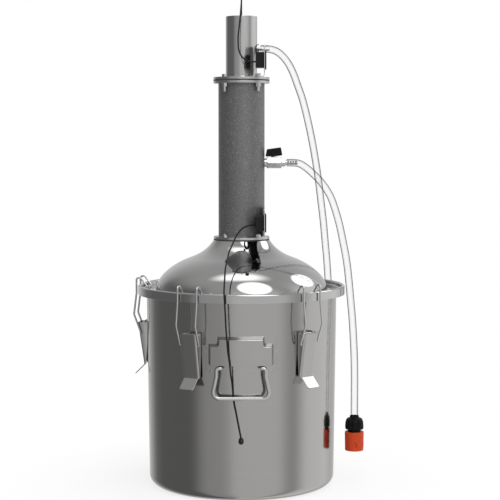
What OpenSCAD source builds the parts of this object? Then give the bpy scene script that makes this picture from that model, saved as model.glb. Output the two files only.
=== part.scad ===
// Bench still: a clamped pot, a domed lid, a column with a water-cooled upper half and a head tube.
// The axis of the pot is Z, the floor is z = 0 and the front, with the first handle, faces -Y.

/* [Pot] */
// Outside radius of the pot wall just under its collar
pot_r = 155; // [150:0.5:160]
// How much the wall draws in from the collar to the bottom
pot_draft = 3.9; // [2:0.1:5]
// Radius of the rounded bottom edge
pot_corner_r = 16; // [12:1:20]
// Thickness of the pot's sheet
pot_wall = 1.2; // [0.8:0.1:1.6]
// Height of the upper face of the pot's flange
pot_h = 315; // [305:1:330]
// Width of the flange that is turned out at the top of the pot
pot_flange_w = 9; // [7:0.5:9.5]

/* [Lid] */
// Thickness of the lid's sheet
lid_wall = 1.2; // [0.8:0.1:1.4]
// How far the lid's collar reaches past the pot's wall
collar_out = 14; // [13.5:0.1:15]
// How far the skirt of the collar reaches below the pot's flange
skirt_drop = 3; // [2:0.5:5]
// Radius of the rolled top edge of the collar
collar_bead_r = 3; // [2.5:0.1:3.5]
// Depth of the groove that the clamps hook into
groove_depth = 7.5; // [6:0.5:8]
// How far the foot of the dome is inside the pot's wall
dome_foot_in = 15; // [14:0.5:21]
// Height of the dome above the floor of the groove
dome_h = 80.4; // [75:0.2:85]
// Radius of the ring on top of the dome
neck_r = 45.6; // [45.5:0.1:48.5]
// Thickness of the ring on top of the dome
neck_ring_t = 3; // [2:0.5:4]
// Compressed thickness of the gasket under the lid
rim_gasket_t = 2.8; // [2:0.1:3.5]

/* [Column] */
// Outside radius of the column
column_r = 37.5; // [36.5:0.1:37.7]
// Wall of the column
column_wall = 1.5; // [1:0.1:2]
// Height of the column between its two flanges
column_h = 247.8; // [235:0.2:260]
// Radius of the bolted flanges
flange_r = 45.5; // [45.4:0.1:47]
// Thickness of the bolted flanges
flange_t = 4; // [3:0.5:5]
// Thickness of the gaskets between the flanges
flange_gasket_t = 2; // [1.5:0.1:3]
// Radius of the circle of bolts
bolt_circle_r = 41.7; // [41.6:0.1:42.2]
// Angle of each bolt from the front or from the back
bolt_angle = 40; // [36:1:46]
// Diameter of the bolts and studs
bolt_d = 5; // [4:0.1:5]
// Height of the water valve above the foot of the column
valve_h = 119.6; // [110:0.2:135]
// Height of the outlet at the back of the column above its foot
outlet_h = 64.6; // [55:0.2:80]

/* [Head] */
// Outside radius of the head tube
head_r = 25.4; // [24:0.1:27]
// Wall of the head tube
head_wall = 1.5; // [1:0.1:2]
// Height of the head tube above its flange
head_h = 97.6; // [85:0.2:110]
// Height of the water nipple above the head flange
head_nipple_h = 45.8; // [35:0.2:55]

/* [Hoses] */
// Outside diameter of the water hoses
hose_d = 12; // [11.6:0.1:12.2]
// Bore of the water hoses
hose_bore_d = 8.3; // [8.2:0.05:8.6]
// Radius of the plain barbs that carry the hoses
barb_r = 3.4; // [3:0.1:3.5]
// Bore through the barbs
barb_bore_d = 4.5; // [3:0.1:5]
// Diameter of the thermometer cords
cord_d = 2.5; // [2:0.1:2.6]

/* [Thermometers] */
// Width of the thermometer bezel
bezel_w = 48; // [46:0.5:49]
// Height of the thermometer bezel
bezel_h = 28.6; // [27:0.2:29.5]
// Thickness of the thermometer bezel
bezel_t = 2.3; // [2:0.1:3]
// Depth of the thermometer case behind the plate
case_depth = 13.8; // [12:0.2:14]
// Height of the middle of the thermometer above the flange
thermo_h = 24.8; // [23:0.2:27]
// Distance of the middle of the thermometer in front of the column's axis
thermo_out = 56; // [55.5:0.1:57]
// Thickness of the thermometer's bracket
bracket_t = 1; // [0.8:0.1:1.5]
// Height of the bracket above the flange
bracket_h = 49; // [46:1:52]

/* [Handles] */
// Diameter of the handle's rod
bail_rod_d = 6.5; // [6:0.1:7]
// Half of the handle's width at its pivots
bail_top_half = 38; // [37:0.5:42]
// Half of the handle's width at its grip
bail_grip_half = 45.3; // [44:0.1:50]
// Height of the handle's pivots above the floor
bail_pivot_z = 212; // [205:1:220]
// How far the grip hangs below the pivots
bail_drop = 47; // [44:1:50]
// Distance of the pivots from the pot's wall
bail_pivot_out = 7.4; // [7.2:0.1:8.5]
// Half of the width of the handle's hood
hood_half = 50.5; // [49:0.5:54]
// Half of the width of the hood's raised middle
hood_crown_half = 35; // [32:1:38]
// Height of the hood above its mouth
hood_h = 44; // [40:1:48]
// How far the shoulders of the hood are below its crown
hood_step = 11; // [8:1:14]
// Thickness of the hood's sheet
hood_wall = 1.2; // [1:0.1:1.5]

/* [Latches] */
// Directions of the latches, from the front towards +X
latch_angles = [-97, -29, 40, 145, 215];
// Width of the latch lever
lever_w = 28.6; // [27:0.2:30]
// Height of the latch lever without its tab
lever_h = 69.5; // [66:0.5:75]
// Depth of the lever's sides at the top
lever_depth = 15; // [14:0.1:16]
// Thickness of the lever's sheet
lever_t = 1.2; // [1:0.1:1.4]
// Length of the tab at the lever's foot
tab_len = 22.5; // [18:0.5:25]
// Width of the tab at the lever's foot
tab_w = 24; // [20:0.5:26]
// Diameter of the latch wire
wire_d = 3; // [2.6:0.1:3.2]
// Radius of the lever's pin
latch_pin_r = 2; // [1.8:0.1:2.2]
// Width of the latch base
base_w = 22; // [20:0.5:23]
// Height of the lever's pin below the pot's flange
pivot_drop = 54; // [48:1:56]

/* [Quick connector] */
// Radius of the connector's ribbed sleeve
sleeve_r = 15.5; // [15:0.1:16]
// Height of the connector's sleeve
sleeve_h = 31; // [28:1:34]
// Height of the connector's hose nut
nut_h = 26; // [24:1:28]

/* [Hidden] */
$fn = 64;

// Share of a rod's radius that its swept length has, inside its round ends
swept_share = 0.98;
// Clearance of a turning pin, all round
running_fit = 0.06;
// Gap that a weld or a bead of glue fills
weld_gap = 0.1;
// Overrun of every cut
over = 1;
// Straight steps in each curve of the dome
dome_steps = 9;
// Corners of a six-sided nut
hex_sides = 6;

// Radii of the lid
collar_r = pot_r + collar_out;
dome_foot_r = pot_r - dome_foot_in;

// Heights, from the floor up
gasket_top_z = pot_h + rim_gasket_t;
groove_z = gasket_top_z + lid_wall;
collar_top_z = groove_z + groove_depth;
neck_z = groove_z + dome_h;
lower_flange_z = neck_z + flange_gasket_t;
column_z = lower_flange_z + flange_t;
upper_flange_z = column_z + column_h;
valve_z = column_z + valve_h;
outlet_z = column_z + outlet_h;
head_gasket_z = upper_flange_z + flange_t;
head_flange_z = head_gasket_z + flange_gasket_t;
head_z = head_flange_z + flange_t;
head_top_z = head_z + head_h;
head_nipple_z = head_z + head_nipple_h;

// Radii inside the tubes
column_bore_r = column_r - column_wall;
head_bore_r = head_r - head_wall;

// The dome's outline, between its foot and its neck: shares of the width and of the height
dome_low_shares = [[1, 0], [0.995, 0.263], [0.691, 0.526], [0.416, 0.638]];
dome_high_shares = [[0.416, 0.638], [0.214, 0.726], [0.096, 0.826], [0, 1]];

// Bolts: half the width of a nut across its corners, and heights
nut_r = bolt_d * 0.92;
nut_t = bolt_d * 1.2;
head_t = bolt_d * 0.8;
bolt_clearance = 0.25;
neck_nut_t = bolt_d * 0.7;
stud_tip = 0.8;
bolt_tip = 8;

// Latch places, as distances from the pot's axis and heights
pivot_z = pot_h - pivot_drop;
pivot_out = 5.6;
pivot_r = pot_r + pivot_out - pot_draft * pivot_drop / pot_h;
link_drop = 16.5;
link_out = 4;
knee_rise = 15.5;
knee_out = 16;
wire_gap = 1;
wire_r = wire_d / 2;
rim_wire_r = collar_r + wire_gap + wire_r;
arch_r = 4;
arch_in = 7;
arch_foot_in = 19;
arch_rise = 10;
hook_gap = 0.3;
arm_half = lever_w / 2 + wire_gap + wire_r + 0.45 * wire_gap;
lever_top = 2;
lever_back_gap = 1;
lever_foot_out = 5.4;
lever_bend_r = 3;
tab_angle = 45;
pin_head_r = 3.2;
pin_head_t = 1;
ear_t = 1.5;
ear_reach = 4;
base_t = 1.2;
base_foot = 0.6;
wire_bend_r = 6;
wire_end_bend_r = 2.4;

// Handle places
bail_r = bail_rod_d / 2;
bail_bend_r = 10;
bail_knee_drop = 13;
bail_knee_bend_r = 8;
bail_end_bend_r = 4.5;
bail_pin_len = 9;
lug_t = 4;
lug_rim = 2;
lug_inset = 3;
hood_gap = 0.8;
hood_slope_share = 0.45;
hood_plate_rim = 9;

// Thermometer places
case_gap = 0.1;
case_rim = 2.4;
case_corner_r = 2;
bezel_corner_r = 3;
window_w = 38;
window_h = 19;
window_t = 0.8;
window_sink = 1;
foot_inner_gap = 0.8;
foot_angle_from = 33;
foot_angle_to = 71;
plate_x = 36.3;
plate_front_y = -82;
plate_back_y = -13;
plate_foot_y = -28;
plate_low = 5;
plate_corner_r = 4;
plate_bend_r = 3;

// Valve places
valve_boss_r = 7;
valve_port_r = 5.5;
hex_r = 10.4;
valve_body_len = 24;
valve_gland_r = 8.8;
valve_gland_len = 9;
valve_barb_len = 17;
valve_ball_r = 6.2;
valve_axis_share = 0.5;
valve_stem_r = 2.4;
valve_stem_top = 15;
valve_lever_low = 10.6;
valve_lever_step_high = 13;
valve_lever_step = 1.5;
valve_lever_high = 21.3;
valve_lever_tip_high = 25.5;
valve_lever_back = 13.2;
valve_lever_front = 14.8;
valve_lever_w = 10;
barb_rib_r = 3.9;
barb_rib_pitch = 4;
nipple_len = 20;
nipple_collar_r = 8;
nipple_collar_t = 3;

// Inside the column
plate_count = 5;
plate_pitch = 15;
plate_hole_r = 3;
plate_hole_count = 10;
plate_hole_circles = [14, 26];
plate_t = 1.2;
rod_r = 2.5;
rod_over = 6;
coil_tube_r = 4;
coil_r = 27;
coil_pitch = 14;
coil_head_gap = 30.2;
coil_turns = max(1, round((upper_flange_z - coil_head_gap - valve_z) / coil_pitch));
coil_leg_r = 15;
coil_elbow_r = 4.6;

// Stopper and probe
stopper_taper = 1;
stopper_h = 22;
stopper_sink = 1;
sleeve_probe_r = 3;
sleeve_probe_len = 75;
sleeve_probe_sink = 0.5;
bead_r = 4.25;

// Quick connector places
connector_x = 184;
connector_y = -26;
connector_top_z = 114;
connector_stem_r = 3.6;
nut_neck_r = 7.4;
nut_shoulder_r = 15.1;
nut_foot_r = 10.5;
nut_foot_h = 3.6;
socket_recess = 1;
socket_depth = 20;
nut_grips = 8;
sleeve_travel = 3;
sleeve_wall = 2.2;
sleeve_grips = 6;
sleeve_grip_turn = 5;
socket_r = 9;

// Coiled hose
coil_hose_turns = 1.6;
coil_hose_r = 76;
coil_hose_pitch = 12.8;
coil_rings = 24;
coil_sides = 6;
hose_sides = 12;
cord_sides = 8;

// Routes of the cords, by hand, at the sizes that they were laid at
laid_pot_r = 155;
laid_pot_h = 315;
laid_column_h = 247.8;
laid_near_r = 80;
laid_inner_r = 75;
supply_laid = [
    [74, 0, 525], [84, 0, 525], [94, 0, 523.5], [105, -2, 517], [118, -5, 505.5], [129, -8, 494],
    [139, -11, 480], [147, -14, 464], [157, -19, 432], [164, -22, 400], [170, -25, 368],
    [174, -26, 335], [177, -26, 303], [180, -26, 270], [182, -26, 238], [183.5, -26, 205],
    [184, -26, 172], [184, -26, 140], [184, -26, 98]
];
drain_laid = [
    [31, 0, 709], [40, 0, 709], [48, 0, 708], [56, 1.5, 705.5], [64, 3, 700], [72, 6, 691.5],
    [79, 10, 681], [85.5, 15, 667.5], [91, 20, 653], [100.5, 30, 627], [109, 40, 595],
    [116.5, 50, 562], [123, 60, 528], [128.5, 70, 495], [133, 78, 461], [137.5, 86, 427],
    [141, 93, 393], [144.5, 99, 358], [147, 104, 325], [149, 108, 290], [150, 113, 240],
    [148, 120, 180], [143, 128, 120], [134, 138, 66], [121, 150, 29], [103, 161, 11],
    [84, 170, 6.5], [66, 174, 6], [54, 174, 6]
];
lower_cord_laid = [
    [22.5, -56, 426.4], [15, -56, 426.4], [8, -60, 424.7], [1.5, -66, 421.5], [-3.9, -76, 416.1],
    [-8.7, -88, 409.5], [-12, -100, 402.5], [-15.3, -112, 395.5], [-18.6, -124, 388.7],
    [-20.6, -136, 380.3], [-22.7, -146, 371.6], [-24.3, -155, 361.9], [-24.9, -162, 350.4],
    [-25.5, -167, 339.8], [-25.7, -170, 333.3], [-25.8, -171.5, 330.5], [-25.6, -172, 327.3],
    [-25.3, -171.6, 320], [-24.8, -171.8, 312], [-24, -171.5, 298], [-23, -171.3, 276],
    [-21.5, -171.5, 256], [-20, -171.5, 238], [-17.5, -171, 221], [-16, -167, 205],
    [-14, -160.5, 190], [-12.8, -156.3, 176], [-12, -155.3, 165], [-10.5, -155.3, 154],
    [-8, -155.4, 142], [-4, -156, 121], [0, -156.8, 101]
];
upper_cord_laid = [
    [22.5, -56, 685.5], [15, -56, 685.5], [8, -55.5, 688], [1.5, -53, 693], [-2.5, -50, 700],
    [-4.5, -48, 708], [-5, -46, 717], [-5, -45, 726], [-4, -44, 735], [-3, -43, 746],
    [-1.8, -41, 757], [-0.8, -37, 769], [0, -31, 781], [0, -22, 791], [0, -12, 795], [0, -4, 791],
    [0, 0, 782], [0, 0, 768], [0, 0, 750]
];

// A point of a route, moved with the pot's size and with the column's height
pot_rise = pot_h - laid_pot_h;
head_rise = column_h - laid_column_h;
function out_share(r) = max(0, min(1, (r - laid_near_r) / laid_inner_r));
function laid(p, top_rise, top_z) =
    let (r = norm([p[0], p[1]]), k = r > 0 ? (pot_r - laid_pot_r) * out_share(r) / r : 0)
    [
        p[0] * (1 + k), p[1] * (1 + k),
        p[2] + pot_rise * min(1, p[2] / laid_pot_h)
            + top_rise * max(0, min(1, (p[2] - laid_pot_h) / (top_z - laid_pot_h)))
    ];
supply_route = [for (p = supply_laid) laid(p, 0, supply_laid[0][2])];
drain_route = [for (p = drain_laid) laid(p, head_rise, drain_laid[0][2])];
lower_cord_route = [for (p = lower_cord_laid) laid(p, 0, lower_cord_laid[0][2])];
upper_cord_route = [for (p = upper_cord_laid) laid(p, head_rise, upper_cord_laid[0][2])];

// Outside radius of the pot's wall at a height
function wall_r(z) = pot_r - pot_draft * (pot_h - z) / pot_h;

// A point of a cubic curve with four control points
function curve_at(p, t) =
    p[0] * pow(1 - t, 3) + p[1] * 3 * t * pow(1 - t, 2) + p[2] * 3 * t * t * (1 - t) + p[3] * pow(t, 3);
function curve(p, steps) = [for (i = [0:steps]) curve_at(p, i / steps)];

// Points of an arc in the plane
function arc(center, r, from, to, steps) =
    [for (i = [0:steps]) center + r * [cos(from + (to - from) * i / steps), sin(from + (to - from) * i / steps)]];

// A line of points moved to its left by a distance
function unit(v) = v / norm(v);
function heading(p, i) = unit(p[min(i + 1, len(p) - 1)] - p[max(i - 1, 0)]);
function moved_left(p, d) = [for (i = [0:len(p) - 1]) p[i] + d * [-heading(p, i)[1], heading(p, i)[0]]];
function reversed(p) = [for (i = [len(p) - 1:-1:0]) p[i]];

// Side vectors of a tube's rings, each carried on from the one before
function side_start(d) = unit(cross(d, abs(d[2]) < 0.9 ? [0, 0, 1] : [0, 1, 0]));
function carried(dirs, i, s) =
    i == len(dirs) ? [] :
    let (t = unit(s - (s * dirs[i]) * dirs[i])) concat([t], carried(dirs, i + 1, t));

// The points of all rings of a tube with a radius, along a route
function tube_points(route, r, sides) =
    let (
        dirs = [for (i = [0:len(route) - 1]) heading(route, i)],
        across = carried(dirs, 0, side_start(dirs[0]))
    )
    [for (i = [0:len(route) - 1], j = [0:sides - 1])
        let (a = 360 * (j + 0.5) / sides)
        route[i] + r * (cos(a) * across[i] + sin(a) * cross(dirs[i], across[i]))];

// A cord or hose along a route; with a bore it is a pipe
module swept(route, r, bore_r, sides) {
    rings = len(route);
    count = rings * sides;
    outer = tube_points(route, r, sides);
    inner = bore_r > 0 ? tube_points(route, bore_r, sides) : [];
    wall = [for (i = [0:rings - 2], j = [0:sides - 1], half = [0, 1])
        let (a = i * sides + j, b = i * sides + (j + 1) % sides)
        half == 0 ? [a, b + sides, b] : [a, a + sides, b + sides]];
    bore = [for (f = wall) [f[0] + count, f[2] + count, f[1] + count]];
    last = (rings - 1) * sides;
    pipe_ends = [for (j = [0:sides - 1], half = [0, 1])
        let (k = (j + 1) % sides)
        half == 0 ? [j, k, k + count] : [j, k + count, j + count]];
    pipe_far = [for (j = [0:sides - 1], half = [0, 1])
        let (a = last + j, b = last + (j + 1) % sides)
        half == 0 ? [a, b + count, b] : [a, a + count, b + count]];
    solid_ends = [for (j = [1:sides - 2]) [0, j, j + 1]];
    solid_far = [for (j = [1:sides - 2]) [last, last + j + 1, last + j]];
    polyhedron(
        points = concat(outer, inner),
        faces = bore_r > 0 ? concat(wall, bore, pipe_ends, pipe_far) : concat(wall, solid_ends, solid_far)
    );
}

// Turns a piece that faces the front to another direction round the pot
module facing(angle) rotate([0, 0, angle]) children();

// A flat outline of distances from the axis and heights, as a plate that faces sideways
module side_plate(width) rotate([90, 0, -90]) linear_extrude(width, center = true) children();

// Points of a path with its corners rounded: each corner has a bend radius and a number of steps
function corner_points(a, b, c, bend, steps) =
    let (
        d = unit(b - a),
        e = unit(c - b),
        t = acos(d * e),
        n = unit(e - (d * e) * d),
        s = b - d * bend * tan(t / 2)
    )
    [for (k = [0:steps]) s + bend * (n - cos(t * k / steps) * n + sin(t * k / steps) * d)];
function rounded_path(p, bends, steps) = [
    for (i = [0:len(p) - 1])
        for (q = i == 0 || i == len(p) - 1 ? [p[i]] : corner_points(p[i - 1], p[i], p[i + 1], bends[i], steps[i]))
            q
];

// A ring with a bore
module ring(outer_r, bore_r, h) {
    difference() {
        cylinder(h = h, r = outer_r);
        translate([0, 0, -over]) cylinder(h = h + 2 * over, r = bore_r);
    }
}

// A block with rounded corners in plan, standing on z = 0
module rounded_block(w, d, h, corner_r) {
    linear_extrude(h) {
        square([w - 2 * corner_r, d], center = true);
        square([w, d - 2 * corner_r], center = true);
        for (x = [-1, 1], y = [-1, 1])
            translate([x * (w / 2 - corner_r), y * (d / 2 - corner_r)]) circle(corner_r);
    }
}

// The four bolt places on the flanges
module at_bolts() {
    for (a = [-bolt_angle, bolt_angle, 180 - bolt_angle, 180 + bolt_angle])
        facing(a) translate([0, -bolt_circle_r, 0]) children();
}

// A flange with a bore and its four bolt holes
module bolted_plate(h, bore_r) {
    difference() {
        ring(flange_r, bore_r, h);
        at_bolts() translate([0, 0, -over]) cylinder(h = h + 2 * over, r = bolt_d / 2 + bolt_clearance);
    }
}

// A six-sided nut with its bore
module nut(high = nut_t) {
    difference() {
        cylinder(h = high, r = nut_r, $fn = hex_sides);
        translate([0, 0, -over]) cylinder(h = high + 2 * over, r = bolt_d / 2);
    }
}

// A barb for a hose along +X, from x = 0, with its bore
module barb(len) {
    ribs = floor(len / barb_rib_pitch) - 1;
    rotate([0, 90, 0]) rotate_extrude()
        polygon(concat(
            [[barb_bore_d / 2, 0], [barb_r, 0]],
            [for (i = [0:ribs - 1], k = [0:2])
                let (z = len - (ribs - i) * barb_rib_pitch)
                k == 0 ? [barb_r, z] : k == 1 ? [barb_rib_r, z] : [barb_r, z + barb_rib_pitch * 0.8]],
            [[barb_r, len], [barb_bore_d / 2, len]]
        ));
}

// Outline of the pot: from the middle of the bottom to the flange
module pot_outline(inset) {
    bottom_r = wall_r(pot_corner_r) - inset;
    corner_r = pot_corner_r - inset;
    polygon(concat(
        [[0, inset]],
        arc([bottom_r - corner_r, inset + corner_r], corner_r, -90, 0, 8),
        [[wall_r(pot_h) - inset, pot_h], [0, pot_h]]
    ));
}

module pot_shell() {
    color("silver") rotate_extrude() {
        difference() {
            pot_outline(0);
            pot_outline(pot_wall);
            translate([0, pot_h - pot_wall]) square([wall_r(pot_h) - pot_wall, 2 * pot_wall]);
        }
        translate([wall_r(pot_h) - pot_wall / 2, pot_h - pot_wall])
            square([pot_flange_w + pot_wall / 2, pot_wall]);
    }
}

module rim_gasket() {
    color("dimgray") translate([0, 0, pot_h]) ring(wall_r(pot_h) + pot_flange_w, dome_foot_r + pot_wall, rim_gasket_t);
}

// The outer line of the dome, from its foot up
function dome_point(s) = [neck_r + (dome_foot_r - neck_r) * s[0], groove_z + dome_h * s[1]];
function dome_line() = concat(
    curve([for (s = dome_low_shares) dome_point(s)], dome_steps),
    [for (i = [1:dome_steps]) curve_at([for (s = dome_high_shares) dome_point(s)], i / dome_steps)]
);

module dome_lid() {
    line = dome_line();
    color("silver") {
        rotate_extrude() {
            // the skirt and the bead are one rolled wall
            difference() {
                polygon(concat(
                    [[collar_r - lid_wall, pot_h - skirt_drop], [collar_r, pot_h - skirt_drop]],
                    arc([collar_r - collar_bead_r, collar_top_z - collar_bead_r], collar_bead_r, 0, 180, 12),
                    [[collar_r - 2 * collar_bead_r, gasket_top_z], [collar_r - lid_wall, gasket_top_z]]
                ));
                translate([collar_r - collar_bead_r, collar_top_z - collar_bead_r])
                    circle(collar_bead_r - lid_wall);
            }
            // the floor of the groove
            translate([dome_foot_r - 2 * lid_wall, gasket_top_z])
                square([collar_r - 2 * collar_bead_r - dome_foot_r + 3 * lid_wall, lid_wall]);
            // the dome
            polygon(concat(line, reversed(moved_left(line, lid_wall))));
            // the ring on top
            translate([column_bore_r, neck_z - neck_ring_t])
                square([neck_r - column_bore_r, neck_ring_t]);
        }
    }
}

module neck_gasket() {
    color("dimgray") translate([0, 0, neck_z]) bolted_plate(flange_gasket_t, column_bore_r);
}

module neck_studs() {
    lengths = flange_gasket_t + flange_t + bracket_t + neck_nut_t + stud_tip;
    color("silver") at_bolts() translate([0, 0, neck_z]) cylinder(h = lengths, r = bolt_d / 2);
}

module neck_nuts() {
    color("silver") {
        for (a = [-bolt_angle, 180 - bolt_angle, 180 + bolt_angle])
            facing(a) translate([0, -bolt_circle_r, column_z]) nut(neck_nut_t);
        facing(bolt_angle) translate([0, -bolt_circle_r, column_z + bracket_t]) nut(neck_nut_t);
    }
}

module column_lower_flange() {
    color("silver") translate([0, 0, lower_flange_z]) bolted_plate(flange_t, column_bore_r);
}

module column_upper_flange() {
    color("silver") translate([0, 0, upper_flange_z]) bolted_plate(flange_t, column_bore_r);
}

module column_tube() {
    color("gray") difference() {
        translate([0, 0, column_z]) ring(column_r, column_bore_r, column_h);
        translate([0, 0, valve_z]) rotate([0, 90, 0]) cylinder(h = 2 * column_r, r = valve_port_r);
        translate([0, 0, outlet_z]) rotate([-90, 0, 0]) cylinder(h = 2 * column_r, r = valve_port_r);
    }
}

module head_gasket() {
    color("dimgray") translate([0, 0, head_gasket_z]) bolted_plate(flange_gasket_t, head_r);
}

module head_flange() {
    color("silver") translate([0, 0, head_flange_z]) bolted_plate(flange_t, head_bore_r);
}

module head_tube() {
    color("silver") difference() {
        translate([0, 0, head_z]) ring(head_r, head_bore_r, head_h);
        translate([0, 0, head_nipple_z]) rotate([0, 90, 0]) cylinder(h = 2 * head_r, r = valve_port_r);
    }
}

// Bolts through the upper joint, with heads above and tips below
module head_bolts() {
    shank = 2 * flange_t + flange_gasket_t + nut_t + bolt_tip;
    color("silver") {
        for (a = [-bolt_angle, bolt_angle, 180 - bolt_angle, 180 + bolt_angle]) {
            lift = a == bolt_angle ? bracket_t : 0;
            facing(a) translate([0, -bolt_circle_r, head_z + lift]) {
                translate([0, 0, -shank]) cylinder(h = shank, r = bolt_d / 2);
                cylinder(h = head_t, r = nut_r, $fn = hex_sides);
            }
        }
    }
}

module head_nuts() {
    color("silver") at_bolts() translate([0, 0, upper_flange_z - nut_t]) nut();
}

// A hose nipple along +X, seated on a tube of a radius
module nipple(tube_r, tube_wall) {
    difference() {
        union() {
            translate([tube_r - tube_wall, 0, 0]) rotate([0, 90, 0])
                ring(valve_port_r, barb_bore_d / 2, tube_wall + nipple_collar_t);
            translate([tube_r + weld_gap, 0, 0]) rotate([0, 90, 0])
                ring(nipple_collar_r, barb_bore_d / 2, nipple_collar_t);
        }
        // the collar is hollowed to the round of the tube
        translate([0, 0, -2 * nipple_collar_r]) difference() {
            cylinder(h = 4 * nipple_collar_r, r = tube_r + weld_gap);
            translate([0, 0, 2 * nipple_collar_r]) rotate([0, 90, 0])
                cylinder(h = 2 * tube_r, r = valve_port_r);
        }
    }
    translate([tube_r + nipple_collar_t, 0, 0]) barb(nipple_len - nipple_collar_t);
}

module head_nipple() {
    color("silver") translate([0, 0, head_nipple_z]) nipple(head_r, head_wall);
}

module outlet_nipple() {
    color("silver") translate([0, 0, outlet_z]) rotate([0, 0, 90]) nipple(column_r, column_wall);
}

module head_stopper() {
    color("dimgray") translate([0, 0, head_top_z - stopper_sink - stopper_h]) difference() {
        cylinder(h = stopper_h, r1 = head_bore_r - stopper_taper, r2 = head_bore_r);
        translate([0, 0, -over]) cylinder(h = stopper_h + 2 * over, r = sleeve_probe_r);
    }
}

module probe_sleeve() {
    top = head_top_z - sleeve_probe_sink;
    color("silver") difference() {
        translate([0, 0, top - sleeve_probe_len]) {
            cylinder(h = sleeve_probe_len, r = sleeve_probe_r);
            sphere(sleeve_probe_r);
        }
        translate([0, 0, upper_cord_route[len(upper_cord_route) - 1][2]])
            cylinder(h = sleeve_probe_len, r = cord_d / 2 + running_fit);
    }
}

// The plate that carries a thermometer, standing on its flange at z = 0
module bracket() {
    bend_r = plate_bend_r + bracket_t;
    bend_x = plate_x + bracket_t - bend_r;
    difference() {
        union() {
            // the foot under the bolt
            intersection() {
                difference() {
                    ring(flange_r, column_r + foot_inner_gap, bracket_t);
                    facing(bolt_angle) translate([0, -bolt_circle_r, -over])
                        cylinder(h = bracket_t + 2 * over, r = bolt_d / 2 + bolt_clearance);
                }
                linear_extrude(bracket_t) polygon([
                    [0, 0],
                    2 * flange_r * [sin(foot_angle_from), -cos(foot_angle_from)],
                    [bend_x, -2 * flange_r],
                    [bend_x, plate_x * cos(foot_angle_to) / -sin(foot_angle_to)]
                ]);
            }
            // the bend between the foot and the upright
            difference() {
                translate([bend_x, plate_back_y, bend_r]) rotate([90, 0, 0])
                    linear_extrude(plate_back_y - plate_foot_y) intersection() {
                        difference() {
                            circle(bend_r);
                            circle(plate_bend_r);
                        }
                        translate([0, -bend_r]) square(bend_r);
                    }
                translate([0, 0, -over])
                    cylinder(h = bend_r + 2 * over, r = column_r + foot_inner_gap);
            }
            // the upright
            translate([plate_x, 0, 0]) rotate([90, 0, 90]) linear_extrude(bracket_t) polygon(concat(
                [[plate_foot_y, bend_r], [plate_back_y, bend_r], [plate_back_y, bracket_h - plate_corner_r]],
                arc([plate_back_y - plate_corner_r, bracket_h - plate_corner_r], plate_corner_r, 0, 90, 6),
                arc([plate_front_y + plate_corner_r, bracket_h - plate_corner_r], plate_corner_r, 90, 180, 6),
                arc([plate_front_y + plate_corner_r, plate_low + plate_corner_r], plate_corner_r, 180, 270, 6),
                [[plate_foot_y, plate_low]]
            ));
        }
        // the window that the case is pushed through
        translate([plate_x - over, -thermo_out, thermo_h]) rotate([90, 0, 90])
            rounded_block(bezel_w - 2 * case_rim + 2 * case_gap, bezel_h - 2 * case_rim + 2 * case_gap,
                bracket_t + 2 * over, case_corner_r);
    }
}

module thermo_case() {
    translate([plate_x + bracket_t, -thermo_out, thermo_h]) rotate([90, 0, 90]) difference() {
        union() {
            rounded_block(bezel_w, bezel_h, bezel_t, bezel_corner_r);
            translate([0, 0, -case_depth - bracket_t])
                rounded_block(bezel_w - 2 * case_rim, bezel_h - 2 * case_rim, case_depth + bracket_t,
                    case_corner_r);
        }
        translate([0, 0, bezel_t - window_sink])
            rounded_block(window_w, window_h, window_sink + over, case_corner_r);
    }
}

module thermo_window() {
    translate([plate_x + bracket_t, -thermo_out, thermo_h]) rotate([90, 0, 90])
        translate([0, 0, bezel_t - window_sink])
            rounded_block(window_w - 2 * case_gap, window_h - 2 * case_gap, window_t, case_corner_r);
}

module lower_bracket() color("silver") translate([0, 0, column_z]) bracket();
module lower_case() color("black") translate([0, 0, column_z]) thermo_case();
module lower_window() color("darkseagreen") translate([0, 0, column_z]) thermo_window();
module upper_bracket() color("silver") translate([0, 0, head_z]) bracket();
module upper_case() color("black") translate([0, 0, head_z]) thermo_case();
module upper_window() color("darkseagreen") translate([0, 0, head_z]) thermo_window();

// Place of the valve's turning axis along +X
valve_start_x = column_r + nipple_collar_t;
valve_axis_x = valve_start_x + valve_body_len * valve_axis_share;

module valve_body() {
    color("silver") translate([0, 0, valve_z]) difference() {
        union() {
            translate([column_r - column_wall, 0, 0]) rotate([0, 90, 0])
                cylinder(h = column_wall + nipple_collar_t, r = valve_port_r);
            translate([column_r, 0, 0]) rotate([0, 90, 0]) cylinder(h = nipple_collar_t, r = valve_boss_r);
            translate([valve_start_x, 0, 0]) rotate([0, 90, 0])
                cylinder(h = valve_body_len, r = hex_r, $fn = hex_sides);
            translate([valve_start_x + valve_body_len, 0, 0]) rotate([0, 90, 0])
                cylinder(h = valve_gland_len, r = valve_gland_r, $fn = hex_sides);
            translate([valve_start_x + valve_body_len + valve_gland_len, 0, 0]) barb(valve_barb_len);
            translate([valve_axis_x, 0, 0]) cylinder(h = valve_lever_low - running_fit, r = 2 * valve_stem_r);
        }
        translate([column_r - column_wall - over, 0, 0]) rotate([0, 90, 0])
            cylinder(h = valve_body_len + valve_gland_len + column_wall + nipple_collar_t + 2 * over,
                r = barb_bore_d / 2);
        translate([valve_axis_x, 0, 0]) sphere(valve_ball_r + running_fit);
        translate([valve_axis_x, 0, 0]) cylinder(h = valve_lever_low + over, r = valve_stem_r + running_fit);
        // the boss is hollowed to the round of the column, outside its port
        translate([0, 0, -2 * hex_r]) difference() {
            cylinder(h = 4 * hex_r, r = column_r + weld_gap);
            translate([0, 0, 2 * hex_r]) rotate([0, 90, 0]) cylinder(h = 2 * column_r, r = valve_port_r);
        }
    }
}

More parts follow.
